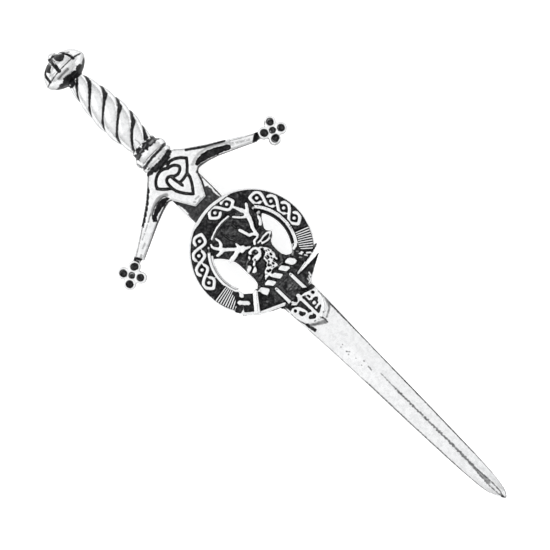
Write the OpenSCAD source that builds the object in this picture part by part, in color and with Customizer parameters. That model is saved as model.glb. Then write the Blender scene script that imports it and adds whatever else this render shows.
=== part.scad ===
// Sword-shaped kilt pin: a cast sword, a round strap-and-buckle badge with a stag's head
// that lies on its blade, and a plain pin on its back. Millimetres.
// It lies face up: +Y runs to the pommel, +Z is the face, and the pin's feet stand on z = 0.

/* [Pommel] */
// Width across the pommel's rim
pommel_d = 8.5; // [7:0.1:10]
// Height of the pommel from the grip to the top of its nub
pommel_h = 6.1; // [5:0.1:7.5]
// Width of the nub on top
nub_d = 1.9; // [1.4:0.1:2.6]
// Number of panels round the dome, an even number
pommel_panels = 8; // [6:2:10]
// Width and depth of the grooves between the panels
pommel_groove = 0.45; // [0.3:0.05:0.6]

/* [Grip] */
// Length of the grip between the pommel and the collar
grip_len = 15.9; // [13:0.1:19]
// Width of the grip where it swells
grip_d = 6.1; // [5:0.1:7]
// Number of ridges that wind round the grip
grip_ridges = 4; // [3:1:6]
// Length of one full turn of a ridge
grip_lead = 13.2; // [10:0.1:18]
// Depth of the grooves between the ridges
grip_groove = 0.4; // [0.2:0.05:0.7]

/* [Collar] */
// Length of the ringed collar between the grip and the guard
collar_len = 4.4; // [3.6:0.1:5.4]
// Width of the collar's large ring
collar_d = 6.4; // [5.8:0.1:7.2]

/* [Guard] */
// Distance between the centres of the two end foils
guard_span = 34.2; // [28:0.1:40]
// How far the foils' centres lie below the collar
guard_drop = 9.7; // [8:0.1:11]
// Thickness of the guard
guard_t = 2.7; // [2.3:0.1:3.2]
// Width of an arm at the middle of the guard
arm_root_w = 4.6; // [4:0.1:5]
// Width of an arm at its foil
arm_tip_w = 1.6; // [1.4:0.1:2.2]
// Length of the tongue from the collar to its point
tongue_len = 9.4; // [9:0.1:11]
// Width of the tongue at its root
tongue_w = 6.6; // [6:0.1:7.2]
// Width of the tongue at its point
tongue_tip_w = 2.4; // [1.6:0.1:3]
// Width of one lobe of an end foil
lobe_d = 2.1; // [1.7:0.1:2.3]
// Width of the round pit in a lobe
pit_d = 1.25; // [0.8:0.05:1.35]
// Depth of the pits
pit_depth = 0.7; // [0.4:0.1:1.2]

/* [Guard knot] */
// Distance from the knot's middle to the point of a side lobe
knot_r = 3.6; // [3:0.05:4]
// Width of the engraved lines round the knot's bands
knot_line = 0.4; // [0.25:0.05:0.5]
// Depth of the engraved lines
knot_depth = 0.5; // [0.3:0.05:0.8]

/* [Blade] */
// Length of the blade from the collar to its point
blade_len = 81.6; // [72:0.1:92]
// Width of the blade at the guard
blade_w = 6.6; // [6.2:0.1:7.4]
// Thickness of the blade along its middle
blade_t = 1.4; // [1.2:0.05:1.8]
// Thickness of the blade at its edges
blade_edge_t = 0.8; // [0.5:0.05:1.1]
// Depth of the middle groove at the point
fuller_depth = 0.3; // [0.1:0.05:0.5]
// Width of the middle groove at the point
fuller_w = 0.7; // [0.4:0.05:1]

/* [Badge] */
// Outer width of the strap ring
badge_d = 21; // [19:0.1:24]
// Width of the strap
strap_w = 3.5; // [3.1:0.1:4]
// Clear blade between the tongue's point and the badge
badge_clear = 1.6; // [0.6:0.1:3]
// How far the ring's walls lean out from its face to its back
ring_draft = 0.35; // [0.1:0.05:0.5]
// Thickness of the plate behind the stag's head
plate_t = 0.6; // [0.5:0.05:0.9]
// Thickness of the strap
strap_t = 1.1; // [1:0.05:1.4]
// Height of the raised work above what carries it
relief_h = 0.6; // [0.4:0.05:0.9]
// Width of the strap's raised inner border
border_w = 0.55; // [0.4:0.05:0.7]
// Angle that one loop of the strap's plait takes
loop_deg = 15.6; // [14:0.1:17]
// Width of the plait's strands
strand_w = 0.6; // [0.4:0.05:0.65]
// Number of gathers on each side
gathers = 9; // [6:1:11]
// Thickness of the film between the badge and the blade
seat_gap = 0.05; // [0.03:0.01:0.1]

/* [Strap end] */
// Length of the hanging strap below the ring's middle line
tail_len = 4.8; // [4.4:0.1:6]
// Width of the hanging strap
tail_w = 4.2; // [3.6:0.1:4.8]
// Length of the strap's pointed metal end
chape_len = 5.3; // [4.8:0.1:6.5]
// Blade left clear on each side of the metal end
chape_margin = 0.12; // [0.05:0.01:0.3]

/* [Back pin] */
// Diameter of the pin's wire
wire_d = 1.2; // [1:0.05:1.5]
// Clear height between the blade's back and the wire
cloth_gap = 4.4; // [4.2:0.1:5.5]
// Length of the pin from its hinge to its catch
pin_len = 34; // [28:0.5:38]
// Distance from the collar down to the pin's hinge
pin_top = 2.8; // [2.4:0.1:5]
// Width of the hinge and the catch
foot_w = 4.6; // [4:0.1:5.2]
// Metal left round the wire at the hinge and the catch
foot_wall = 0.7; // [0.5:0.05:0.9]
// Thickness of the pads that the hinge and the catch stand on
pad_t = 0.5; // [0.4:0.05:0.8]

/* [Hidden] */
$fn = 28;

// Heights: the flat back of the sword lies at back_z
back_z = foot_wall + wire_d + cloth_gap;
hilt_z = 1.2;
badge_z = blade_t + seat_gap;
strap_top = strap_t + relief_h;

// Lengths: the collar's lower end lies at collar_y, so that the whole length is centred on y = 0
total_len = pommel_h + grip_len + collar_len + blade_len;
collar_y = blade_len - total_len / 2;

// Badge: its pieces start one layer above each other, so that no two faces lie in one plane
layer = 0.02;
badge_r = badge_d / 2;
crest_r = badge_r - strap_w;
field_r = crest_r + border_w;
badge_y = -tongue_len - badge_clear - badge_r;

// Small helpers
// A point at radius r and angle a
function polar(r, a) = [r * cos(a), r * sin(a)];
function unit(v) = v / norm(v);
function left_of(v) = [-v[1], v[0]];
function mix(a, b, t) = a + (b - a) * t;
// Value of a table's column at x, along straight lines between its rows
function at(table, x, col) =
    let (n = len(table) - 1, k = max([for (i = [0:n - 1]) table[i][0] <= x ? i : 0]))
    let (t = (x - table[k][0]) / (table[k + 1][0] - table[k][0]))
    mix(table[k][col], table[k + 1][col], min(max(t, 0), 1));

// A smooth line through points, with n steps between two of them
function spline(p, n = 3) = [
    for (i = [0:len(p) - 2]) for (k = [0:n - 1])
        let (a = p[max(i - 1, 0)], b = p[i], c = p[i + 1], d = p[min(i + 2, len(p) - 1)], t = k / n)
        let (bend = 2 * a - 5 * b + 4 * c - d, twist = 3 * b - a - 3 * c + d)
        0.5 * (2 * b + (c - a) * t + bend * t * t + twist * t * t * t),
    p[len(p) - 1]
];

// Outline of a ribbon along a line of points, w0 wide where it starts and w1 where it ends, with round ends
function ribbon(p, w0, w1) =
    let (n = len(p) - 1)
    let (dir = [for (i = [0:n]) unit(p[min(i + 1, n)] - p[max(i - 1, 0)])])
    let (half = [for (i = [0:n]) mix(w0, w1, i / n) / 2])
    concat(
        [for (i = [0:n]) p[i] - left_of(dir[i]) * half[i]],
        [for (a = [60, 120]) p[n] + half[n] * (dir[n] * sin(a) - left_of(dir[n]) * cos(a))],
        [for (i = [n:-1:0]) p[i] + left_of(dir[i]) * half[i]],
        [for (a = [60, 120]) p[0] - half[0] * (dir[0] * sin(a) - left_of(dir[0]) * cos(a))]
    );

module stroke(p, w0, w1) polygon(ribbon(p, w0, w1));

module both_sides() {
    children();
    mirror([1, 0, 0]) children();
}

// Turns what is drawn round Z so that it stands round the hilt's own axis, which runs along Y
module round_hilt(y) translate([0, y, hilt_z]) rotate([-90, 0, 0]) children();

// A flat shape raised from the height "from" to the height "to", with a step drawn in round its upper edge
module raised(from, to, edge = 0.1) {
    translate([0, 0, from]) linear_extrude(to - from - edge) children();
    translate([0, 0, from + edge]) linear_extrude(to - from - edge) offset(delta = -edge) children();
}

// Pommel: rows of [share of the height from the grip, share of the rim's radius]
pommel_rows = [
    [0.00, 0.36], [0.03, 0.46], [0.08, 0.62], [0.18, 0.82], [0.29, 0.955], [0.37, 1.00], [0.44, 0.985],
    [0.475, 0.945], [0.50, 0.95], [0.56, 0.915], [0.62, 0.86], [0.69, 0.77], [0.76, 0.64], [0.81, 0.50],
    [0.845, 0.36]
];
dome_from = 0.49;

module pommel_core(shrink) {
    polygon(concat(
        [[0, 0]],
        [
            for (row = pommel_rows)
                [pommel_d / 2 * row[1] - (row[0] > dome_from ? shrink : 0), pommel_h * row[0]]
        ],
        [[0, pommel_h * 0.86 - shrink]]
    ));
}

module pommel() {
    nub_y = pommel_h - nub_d / 2;
    round_hilt(collar_len + grip_len) {
        rotate_extrude() pommel_core(pommel_groove * 0.8);
        difference() {
            rotate_extrude() pommel_core(0);
            for (k = [0:pommel_panels / 2 - 1])
                rotate([0, 0, 81 + 360 / pommel_panels * k])
                    translate([-pommel_d, -pommel_groove / 2, pommel_h * dome_from])
                        cube([2 * pommel_d, pommel_groove, pommel_h]);
            translate([0, 0, pommel_h * 0.805]) cylinder(h = pommel_h, d = nub_d + 2.5 * pommel_groove);
        }
        translate([0, 0, nub_y]) sphere(d = nub_d);
        translate([0, 0, pommel_h / 2])
            cylinder(h = nub_y - pommel_h / 2, d1 = nub_d * 1.3, d2 = nub_d * 0.85);
    }
}

// Grip: rows of [share of the length from the collar, share of the swell's radius]
grip_rows = [
    [0, 0.70], [0.10, 0.80], [0.22, 0.93], [0.38, 1.00],
    [0.56, 0.97], [0.74, 0.85], [0.88, 0.70], [1, 0.54]
];
// Where the ridges start, so that a groove crosses the face as far above the collar as it should
grip_shift = 0.65;

module grip() {
    rings = 24;
    facets = 8;
    sides = facets * grip_ridges;
    sink = 1;
    tall = grip_len + 2 * sink;
    points = [
        for (i = [0:rings]) for (j = [0:sides - 1])
            let (h = tall * i / rings - sink, share = min(max(h / grip_len, 0), 1))
            let (swell = at(grip_rows, share, 1), u = (j % facets) / facets)
            let (r = swell * grip_d / 2 - swell * grip_groove * (1 - pow(sin(180 * u), 0.45)))
            let (a = 360 * j / sides + 360 * (h + grip_shift) / grip_lead)
            [r * cos(a), r * sin(a), h]
    ];
    ring_faces = [
        for (i = [0:rings - 1]) for (j = [0:sides - 1])
            let (a = i * sides + j, b = i * sides + (j + 1) % sides)
            each [[a, a + sides, b], [b, a + sides, b + sides]]
    ];
    middle = [[0, 0, -sink], [0, 0, grip_len + sink]];
    top = rings * sides;
    caps = [
        for (j = [0:sides - 1]) let (k = (j + 1) % sides)
            each [[top + sides, j, k], [top + sides + 1, top + k, top + j]]
    ];
    round_hilt(collar_len) polyhedron(concat(points, middle), concat(ring_faces, caps));
}

// Collar: rows of [share of the length from the guard, share of the large ring's radius]
collar_rows = [
    [-0.11, 0.80], [0.05, 0.80], [0.13, 0.84], [0.16, 0.93], [0.22, 0.97], [0.29, 0.95],
    [0.33, 0.86], [0.37, 0.86], [0.41, 0.94], [0.50, 1.00], [0.60, 1.00], [0.70, 0.93],
    [0.76, 0.82], [0.82, 0.75], [1.00, 0.76], [1.05, 0.60]
];

module collar() {
    round_hilt(0) rotate_extrude() polygon(concat(
        [[0, collar_rows[0][0] * collar_len]],
        [for (row = collar_rows) [row[1] * collar_d / 2, row[0] * collar_len]],
        [[0, 1.05 * collar_len]]
    ));
}

// Guard: the arms' middle line runs from just below the collar to the foils
arm_root = [0, -0.5];
arm_end = [guard_span / 2, -guard_drop];
arm_sag = 0.4;
arm_dir = unit(arm_end - [0, arm_sag] - arm_root);
arm_angle = atan2(arm_dir[1], arm_dir[0]);
lobe_r = 0.72 * lobe_d;
neck_len = 0.35;
arm_len = norm(arm_end - arm_root) - lobe_r - lobe_d / 2 - neck_len;

// Outlines of the right and the left arm: rows of [share of its length, upper edge, lower edge],
// the edges as shares of its half width
arm_rows = [
    [
        [0, 1.05, -1.30], [0.25, 0.87, -1.20], [0.35, 0.85, -1.14], [0.45, 0.83, -0.88],
        [0.57, 0.84, -0.74], [0.72, 0.86, -0.74], [0.84, 0.88, -0.75], [1, 0.90, -0.82]
    ],
    [
        [0, 1.10, -1.50], [0.16, 1.05, -1.50], [0.26, 0.89, -1.47], [0.34, 0.81, -1.42], [0.45, 0.73, -1.24],
        [0.57, 0.70, -1.16], [0.70, 0.68, -1.15], [0.83, 0.72, -1.16], [1, 0.88, -1.16]
    ]
];
// Middle lines of the pockets in the arms, right and left, as [rows of [share of the arm's length,
// share of its half width], width where it starts, width where it ends]
arm_pockets = [
    [[[0.35, -0.70], [0.417, -0.43], [0.513, -0.28], [0.613, -0.22], [0.687, -0.18]], 0.75, 0.88],
    [[[0.332, -0.95], [0.379, -0.70], [0.435, -0.52], [0.515, -0.48], [0.56, -0.62]], 0.9, 0.6]
];

// A point at a share of the arm's length, moved to the side of it by a share of its half width
function arm_point(share, side) =
    arm_root + arm_dir * arm_len * share + left_of(arm_dir) * side * mix(arm_root_w, arm_tip_w, share) / 2;

module guard_outline() {
    fillet = 0.8;
    offset(r = -fillet) offset(delta = fillet) {
        for (side = [0, 1]) mirror([side, 0, 0]) {
            rows = arm_rows[side];
            polygon(concat(
                [for (row = rows) arm_point(row[0], row[2])],
                [for (k = [len(rows) - 1:-1:0]) arm_point(rows[k][0], rows[k][1])]
            ));
        }
        polygon([
            [-tongue_w / 2, 0], [-tongue_w / 2, -0.6 * tongue_len], [-tongue_tip_w / 2, -tongue_len],
            [tongue_tip_w / 2, -tongue_len], [tongue_w / 2, -0.6 * tongue_len], [tongue_w / 2, 0]
        ]);
    }
}

// Engraved lines round the bands of a three-lobed knot: points are shares of knot_r from its middle
knot_paths = [
    [[-1.00, 0.44], [-0.87, 0.65], [-0.65, 0.82], [-0.40, 0.91], [-0.15, 0.89], [0.04, 0.76]],
    [[0.04, 0.76], [0.26, 0.92], [0.57, 0.84], [0.82, 0.67], [1.00, 0.46]],
    [[1.00, 0.46], [0.79, 0.21], [0.51, -0.05]],
    [[0.51, -0.05], [0.47, -0.28], [0.26, -0.64], [0.01, -0.94]],
    [[0.01, -0.94], [-0.24, -0.64], [-0.43, -0.31], [-0.49, -0.05]],
    [[-0.49, -0.05], [-0.76, 0.17], [-1.00, 0.44]],
    [
        [0.04, 0.76], [0.25, 0.71], [0.42, 0.57], [0.48, 0.40], [0.35, 0.28], [0.17, 0.23],
        [0.00, 0.28], [-0.13, 0.40], [-0.31, 0.45], [-0.45, 0.33], [-0.48, 0.14], [-0.49, -0.05]
    ],
    [[-0.13, 0.40], [-0.11, 0.10], [-0.07, -0.11], [-0.05, -0.30]],
    [[-0.07, -0.11], [0.17, -0.12], [0.35, -0.09], [0.51, -0.05]]
];

module knot_lines() for (path = knot_paths) stroke(knot_r * spline(path), knot_line, knot_line);

// Quatrefoil at the end of an arm, with a pit in each lobe and a smaller one in the middle
module foil() {
    foil_t = guard_t * 0.85;
    neck_t = guard_t * 0.5;
    bevel = 0.15;
    translate([arm_end[0], arm_end[1], 0]) rotate([0, 0, arm_angle]) difference() {
        union() {
            translate([-lobe_r - lobe_d, -arm_tip_w * 0.35 - arm_sag / 2, 0])
                cube([lobe_r + lobe_d, arm_tip_w * 0.8, neck_t]);
            for (k = [0:3]) rotate([0, 0, 90 * k]) translate([lobe_r, 0, 0]) {
                cylinder(h = foil_t - bevel, d = lobe_d, $fn = 20);
                translate([0, 0, foil_t - bevel])
                    cylinder(h = bevel, d1 = lobe_d, d2 = lobe_d - 2 * bevel, $fn = 20);
            }
            cylinder(h = foil_t - 0.1, r = lobe_r);
        }
        for (k = [0:3]) rotate([0, 0, 90 * k]) translate([lobe_r, 0, foil_t - pit_depth])
            cylinder(h = pit_depth + 1, d = pit_d, $fn = 14);
        translate([0, 0, foil_t - pit_depth]) cylinder(h = pit_depth + 1, d = pit_d * 0.85, $fn = 14);
    }
}

module guard() {
    knot_y = -0.45 * tongue_len;
    difference() {
        raised(0, guard_t, 0.25) guard_outline();
        translate([0, knot_y, guard_t - knot_depth]) linear_extrude(2 * knot_depth) knot_lines();
        translate([0, 0, guard_t - knot_depth]) linear_extrude(2 * knot_depth)
            for (side = [0, 1]) mirror([side, 0, 0]) {
                pocket = arm_pockets[side];
                stroke(spline([for (row = pocket[0]) arm_point(row[0], row[1])]), pocket[1], pocket[2]);
            }
    }
    both_sides() foil();
}

// Blade: rows of [share of its length from the collar, share of its half width,
// share of the ridge's rise, share of the middle groove]
blade_rows = [
    [0.00, 1.00, 0, 0.02], [0.40, 0.97, 0, 0.02], [0.47, 0.90, 0, 0.02],
    [0.53, 0.83, 1, 0.02], [0.60, 0.76, 1, 0.02], [0.70, 0.685, 1, 0.3],
    [0.83, 0.585, 1, 0.6], [0.89, 0.53, 1, 0.8], [0.94, 0.455, 1, 1], [0.965, 0.38, 1, 1],
    [0.982, 0.275, 1, 0.8], [0.993, 0.16, 1, 0.4], [1.00, 0.03, 1, 0.05]
];

function blade_half(share) = blade_w / 2 * at(blade_rows, share, 1);

module blade() {
    n = len(blade_rows);
    drop = blade_t - blade_edge_t;
    points = [
        for (row = blade_rows)
            let (y = -blade_len * row[0], half = blade_w / 2 * row[1], edge = blade_t - drop * row[2])
            let (groove = min(fuller_w / 2, half / 2) * row[3], deep = fuller_depth * row[3])
            each [
                [-half, y, 0], [half, y, 0], [half, y, edge], [groove, y, blade_t],
                [0, y, blade_t - deep], [-groove, y, blade_t], [-half, y, edge]
            ]
    ];
    walls = [
        for (i = [0:n - 2]) for (j = [0:6])
            let (a = 7 * i + j, b = 7 * i + (j + 1) % 7)
            each [[a, a + 7, b], [b, a + 7, b + 7]]
    ];
    caps = [for (j = [1:5]) each [[0, j, j + 1], [7 * (n - 1), 7 * (n - 1) + j + 1, 7 * (n - 1) + j]]];
    polyhedron(points, concat(walls, caps));
}

module sword() color("silver") translate([0, collar_y, back_z]) {
    pommel();
    grip();
    collar();
    guard();
    blade();
}

// Stag's head: points are shares of the crest's radius, from the ring's middle.
// Antlers: [points, width at the root, width at the tip]
antlers = [
    [
        [
            [0.33, 0.11], [0.39, 0.24], [0.44, 0.37], [0.51, 0.50],
            [0.53, 0.63], [0.54, 0.73], [0.51, 0.86], [0.47, 1.04]
        ],
        0.11, 0.07
    ],
    [[[0.53, 0.64], [0.41, 0.79], [0.28, 0.94]], 0.10, 0.06],
    [[[0.54, 0.67], [0.64, 0.79], [0.72, 0.91]], 0.10, 0.07],
    [[[0.36, 0.19], [0.27, 0.30], [0.21, 0.43], [0.16, 0.57]], 0.10, 0.06],
    [[[0.40, 0.26], [0.54, 0.27], [0.64, 0.37], [0.77, 0.53]], 0.07, 0.07],
    [
        [
            [0.07, 0.10], [-0.07, 0.19], [-0.20, 0.29], [-0.31, 0.40],
            [-0.43, 0.51], [-0.49, 0.60], [-0.57, 0.70], [-0.61, 0.84]
        ],
        0.11, 0.06
    ],
    [[[-0.46, 0.56], [-0.39, 0.69], [-0.38, 0.84]], 0.08, 0.06],
    [[[-0.44, 0.53], [-0.54, 0.53], [-0.66, 0.54]], 0.10, 0.06],
    [[[-0.13, 0.21], [-0.29, 0.20], [-0.53, 0.21]], 0.11, 0.10],
    [[[-0.11, 0.20], [-0.13, 0.30], [-0.14, 0.39]], 0.14, 0.04]
];
head_outline = [
    [0.26, 0.13], [0.10, 0.11], [-0.10, 0.06], [-0.20, -0.04], [-0.33, -0.16], [-0.44, -0.24],
    [-0.46, -0.30], [-0.37, -0.35], [-0.33, -0.42], [-0.25, -0.43], [-0.20, -0.37], [-0.17, -0.30],
    [-0.07, -0.26], [0.06, -0.23], [0.20, -0.18], [0.27, -0.08], [0.30, 0.03]
];
neck_outline = [
    [0.26, -0.03], [0.31, -0.17], [0.34, -0.31], [0.32, -0.47], [0.31, -0.60], [0.36, -0.72],
    [0.25, -0.70], [0.19, -0.75], [0.09, -0.70], [-0.03, -0.75], [-0.14, -0.70], [-0.29, -0.74],
    [-0.20, -0.63], [-0.07, -0.51], [0.03, -0.42], [0.06, -0.31], [0.04, -0.20]
];
ear_outline = [
    [0.26, 0.05], [0.34, 0.10], [0.48, 0.10], [0.60, 0.07], [0.68, 0.01],
    [0.60, -0.07], [0.48, -0.115], [0.36, -0.09], [0.27, -0.03]
];
// Lines cut into the head: the ear's slit, the eye and the mouth, as [points, width at each end]
head_lines = [
    [[[0.33, 0.00], [0.47, 0.01], [0.59, 0.01]], 0.07, 0.02],
    [[[-0.02, -0.06], [0.04, -0.07], [0.10, -0.05]], 0.03, 0.05],
    [[[-0.42, -0.32], [-0.32, -0.30], [-0.20, -0.27]], 0.03, 0.03]
];
nostril = [-0.40, -0.26];
// One turn of the twisted wreath: points are shares of the pitch of its turns
twist_outline = [[-0.36, 0.28], [-0.02, 0.31], [0.36, -0.28], [0.02, -0.31]];
// The plate behind the stag leaves a window on each side of it
web_outline = [
    [-0.42, 1.05], [-0.70, 0.86], [-0.90, 0.56], [-0.75, 0.51], [-0.64, 0.40], [-0.54, 0.26],
    [-0.47, 0.10], [-0.45, -0.02], [-0.44, -0.51], [-0.47, -0.64], [-0.56, -0.72], [-0.72, -0.76],
    [-0.55, -1.05], [0.45, -1.05], [0.76, -0.74], [0.59, -0.70], [0.51, -0.65], [0.46, -0.55],
    [0.44, -0.43], [0.45, -0.25], [0.50, -0.14], [0.61, -0.09], [0.69, 0.01], [0.61, 0.10],
    [0.60, 0.18], [0.67, 0.29], [0.74, 0.40], [0.82, 0.47], [0.91, 0.48], [0.72, 0.86], [0.42, 1.05]
];

// A flat shape raised as a low mound: rows of [share of the height, how far the shape is drawn in there]
mound_rows = [[0.62, 0], [0.82, 0.14], [0.94, 0.32], [1, 0.55]];

module mound(from, to) {
    for (i = [0:len(mound_rows) - 1])
        translate([0, 0, from + layer * i])
            linear_extrude((to - from) * mound_rows[i][0] - layer * i)
                offset(delta = -mound_rows[i][1]) children();
}

module crest() {
    wreath_y = -0.845 * crest_r;
    twist_pitch = 0.238 * crest_r;
    raised(4 * layer, strap_top)
        for (a = antlers) stroke(crest_r * spline(a[0], 2), crest_r * a[1], crest_r * a[2]);
    difference() {
        union() {
            mound(10 * layer, strap_top) polygon(crest_r * neck_outline);
            mound(5 * layer, strap_top + 0.35) polygon(crest_r * head_outline);
            mound(7 * layer, strap_top + 0.2) polygon(crest_r * ear_outline);
        }
        translate([0, 0, strap_top - 0.25]) linear_extrude(2)
            for (l = head_lines) stroke(crest_r * l[0], crest_r * l[1], crest_r * l[2]);
        translate([crest_r * nostril[0], crest_r * nostril[1], strap_top - 0.15])
            cylinder(h = 2, r = 0.025 * crest_r, $fn = 10);
    }
    // Twisted wreath under the neck
    for (k = [-2:2])
        raised(6 * layer, strap_top + 0.1) translate([twist_pitch * k, wreath_y + 0.05 * k])
            offset(r = 0.2, $fn = 12) polygon(twist_pitch * twist_outline);
}

// Plait that fills the strap: rows of [angle where a panel starts, number of its loops]
panels = [[178, 4], [96, 2], [47, 4]];
strap_mid = (field_r + badge_r) / 2;
// How far a strand swings to each side of the strap's middle line
swing = (badge_r - field_r - strand_w - 0.35) / 2;

// One strand of a panel from loop "from" to loop "to", starting outwards where side is 1
function strand(start, from, to, side) = [
    for (t = [from:(to - from) / (6 * ceil(to - from)):to + 0.001])
        polar(strap_mid + side * swing * sin(180 * t), start - loop_deg * t)
];

module plait() {
    cut = 0.2;
    for (panel = panels) for (side = [-1, 1]) {
        last = panel[1];
        // A strand dips under at every second crossing, where its neighbour runs on
        for (t = [side > 0 ? 0 : -1:2:last - 1])
            let (from = t <= 0 ? 0 : t + cut, to = t + 2 >= last ? last : t + 2 - cut)
                stroke(strand(panel[0], from, to, side), strand_w, strand_w);
    }
    for (panel = panels) for (k = [0:panel[1] - 1])
        translate(polar(strap_mid, panel[0] - loop_deg * (k + 0.5))) circle(d = 0.7, $fn = 10);
}

// Gathers on each side: [angle of the first rib, pitch of the ribs, number of further ribs]
gather_rows = [[187, 2.75, 0], [-22, -2.75, 2]];

module gather_ribs() {
    rib_w = 0.24;
    for (row = gather_rows) for (k = [0:gathers + row[2] - 1])
        rotate([0, 0, row[0] + row[1] * k]) translate([field_r - 0.1, -rib_w / 2])
            square([badge_r - field_r, rib_w]);
}

// Parts of the strap's inner border that show: [angle from, angle to]
border_arcs = [[-47, 43], [76, 122], [136, 216]];

module border() {
    r = crest_r + border_w / 2 + layer;
    for (arc = border_arcs) {
        n = ceil((arc[1] - arc[0]) / 6);
        stroke([for (i = [0:n]) polar(r, mix(arc[0], arc[1], i / n))], border_w, border_w);
    }
}

// Buckle, drawn with the strap running along X and its middle at the origin
module buckle_frame() {
    bar = 0.95;
    corner = 0.3;
    size = strap_w * [0.72, 1.15];
    difference() {
        translate([corner / 2, 0]) offset(r = corner, $fn = 16) square(size, center = true);
        translate([-bar / 2, 0]) square([size[0], size[1] + 2 * corner - 2 * bar], center = true);
    }
}

// The plate between the buckle and the blade lies lower than the strap: points are shares of badge_r
web_t = strap_t - 0.35;
lower_left = [[0, -0.6], [-0.62, -0.62], [-0.66, -0.80], [-0.54, -0.87]];
lower_right = [[0.55, -0.88], [0.73, -0.79], [0.845, -0.67], [0.6, -0.55], [0.45, -0.55]];
// The part of the ring that the lower plate replaces
lower_gap = [[-0.60, -0.62], [-1, -1.2], [1, -1.2], [0.84, -0.68], [0.50, -0.62], [0, -0.3]];
// Raised bars on the lower plate, as [points, width at each end in mm]
lower_bars = [[[[-0.62, -0.78], [-0.24, -0.96]], 0.5, 0.5], [[[0.79, -0.705], [0.26, -0.775]], 0.95, 0.32]];

module lower_plate() {
    foot = -badge_r - 0.35;
    half = blade_half((-badge_y - foot) / blade_len) - 0.05;
    polygon(concat(badge_r * lower_left, [[-half, foot], [half, foot]], badge_r * lower_right));
}

module tail() {
    top = -0.70 * badge_r;
    foot = -strap_mid - tail_len + 2.9;
    edge_w = 0.68;
    edge_x = tail_w / 2 - 0.55 * edge_w;
    translate([-tail_w / 2, foot - 0.5, 3 * layer]) cube([tail_w, top - foot + 0.55, web_t + 0.1]);
    raised(4 * layer, strap_top) both_sides() stroke([[edge_x, top], [edge_x, foot]], edge_w, edge_w);
}

// Metal end of the strap: points are shares of its half width and of its length from the top
chape_side = [[0.95, 0.24], [0.99, 0.34], [0.96, 0.55], [0.82, 0.76], [0.45, 0.94], [0, 1]];
chape_top = [
    [-0.86, 0.15], [-0.70, 0.13], [-0.55, 0.19], [-0.46, 0.26], [-0.12, 0.26], [0.08, 0.09],
    [0.32, 0.08], [0.66, 0.14], [0.88, 0.17]
];
chape_curl = [[-0.54, 0.04], [-0.42, 0.12], [-0.24, 0.13], [-0.06, 0.01]];
chape_pockets = [
    // [points, width at the start, width at the end]
    [[[-0.73, 0.25], [-0.70, 0.27]], 0.19, 0.19],
    [[[-0.62, 0.41], [-0.51, 0.48], [-0.46, 0.52]], 0.16, 0.18],
    [[[-0.26, 0.20], [-0.218, 0.335], [-0.17, 0.505], [-0.12, 0.71]], 0.27, 0.07],
    [[[-0.39, 0.745], [-0.26, 0.78], [-0.15, 0.80]], 0.15, 0.17],
    [[[0.15, 0.15], [0.165, 0.30], [0.165, 0.45], [0.155, 0.60], [0.12, 0.71]], 0.13, 0.07],
    [[[0.38, 0.19], [0.39, 0.27]], 0.09, 0.09],
    [[[0.68, 0.22], [0.71, 0.26]], 0.16, 0.16],
    [
        [[0.24, 0.42], [0.44, 0.40], [0.61, 0.42], [0.64, 0.48], [0.54, 0.54], [0.34, 0.595], [0.23, 0.59]],
        0.13, 0.06
    ],
    [[[0.18, 0.795], [0.31, 0.75], [0.455, 0.72]], 0.16, 0.08]
];

module chape() {
    top = -strap_mid - tail_len + 2.9;
    end = top - chape_len;
    half = blade_half((-badge_y - top) / blade_len) - chape_margin;
    mouth = [[-tail_w / 2, top + 0.3], [tail_w / 2, top + 0.3]];
    side = place(chape_side, half, top, end);
    outline = concat(side, [for (k = [len(side) - 2:-1:0]) [-side[k][0], side[k][1]]]);
    translate([0, 0, 5 * layer]) linear_extrude(plate_t) polygon(concat(outline, mouth));
    raised(6 * layer, strap_top, 0.12) {
        difference() {
            polygon(concat(outline, place(chape_top, half, top, end)));
            for (p = chape_pockets)
                stroke(spline(place(p[0], half, top, end), 2), half * p[1], half * p[2]);
        }
        stroke([[0.1, top + 0.2], [0, mix(top, end, 0.5)]], 0.6, 0.5);
        stroke(spline(place(chape_curl, half, top, end), 2), 0.4, 0.4);
    }
}

// Points given as shares of a half width and of the way from top to end
function place(points, half, top, end) = [for (p = points) [half * p[0], mix(top, end, p[1])]];

module crest_badge() color("gainsboro") translate([0, collar_y + badge_y, back_z + badge_z]) {
    // Strap ring, cut away below where the lower plate takes its place
    difference() {
        cylinder(h = strap_t, r1 = badge_r + ring_draft, r2 = badge_r, $fn = 90);
        translate([0, 0, -strap_t])
            cylinder(h = 3 * strap_t, r1 = crest_r - 2 * ring_draft, r2 = crest_r + ring_draft, $fn = 90);
        translate([0, 0, web_t]) linear_extrude(5) polygon(badge_r * lower_gap);
    }
    translate([0, 0, layer]) linear_extrude(plate_t) intersection() {
        polygon(crest_r * web_outline);
        circle(r = crest_r + 0.31, $fn = 50);
    }
    translate([0, 0, 2 * layer]) linear_extrude(web_t) lower_plate();
    raised(8 * layer, strap_top) {
        plait();
        border();
        for (b = lower_bars) stroke(badge_r * b[0], b[1], b[2]);
    }
    raised(9 * layer, strap_top - layer, 0.06) gather_ribs();
    crest();
    // The buckle sits a little askew on the strap
    rotate([0, 0, 221]) translate([strap_mid, 0, 0]) rotate([0, 0, 101]) {
        raised(11 * layer, strap_top + 0.25) buckle_frame();
        raised(12 * layer, strap_top + 0.12) stroke([[-1.9, 0.1], [0.4, 0]], 0.62, 0.6);
    }
    tail();
    chape();
}

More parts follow.
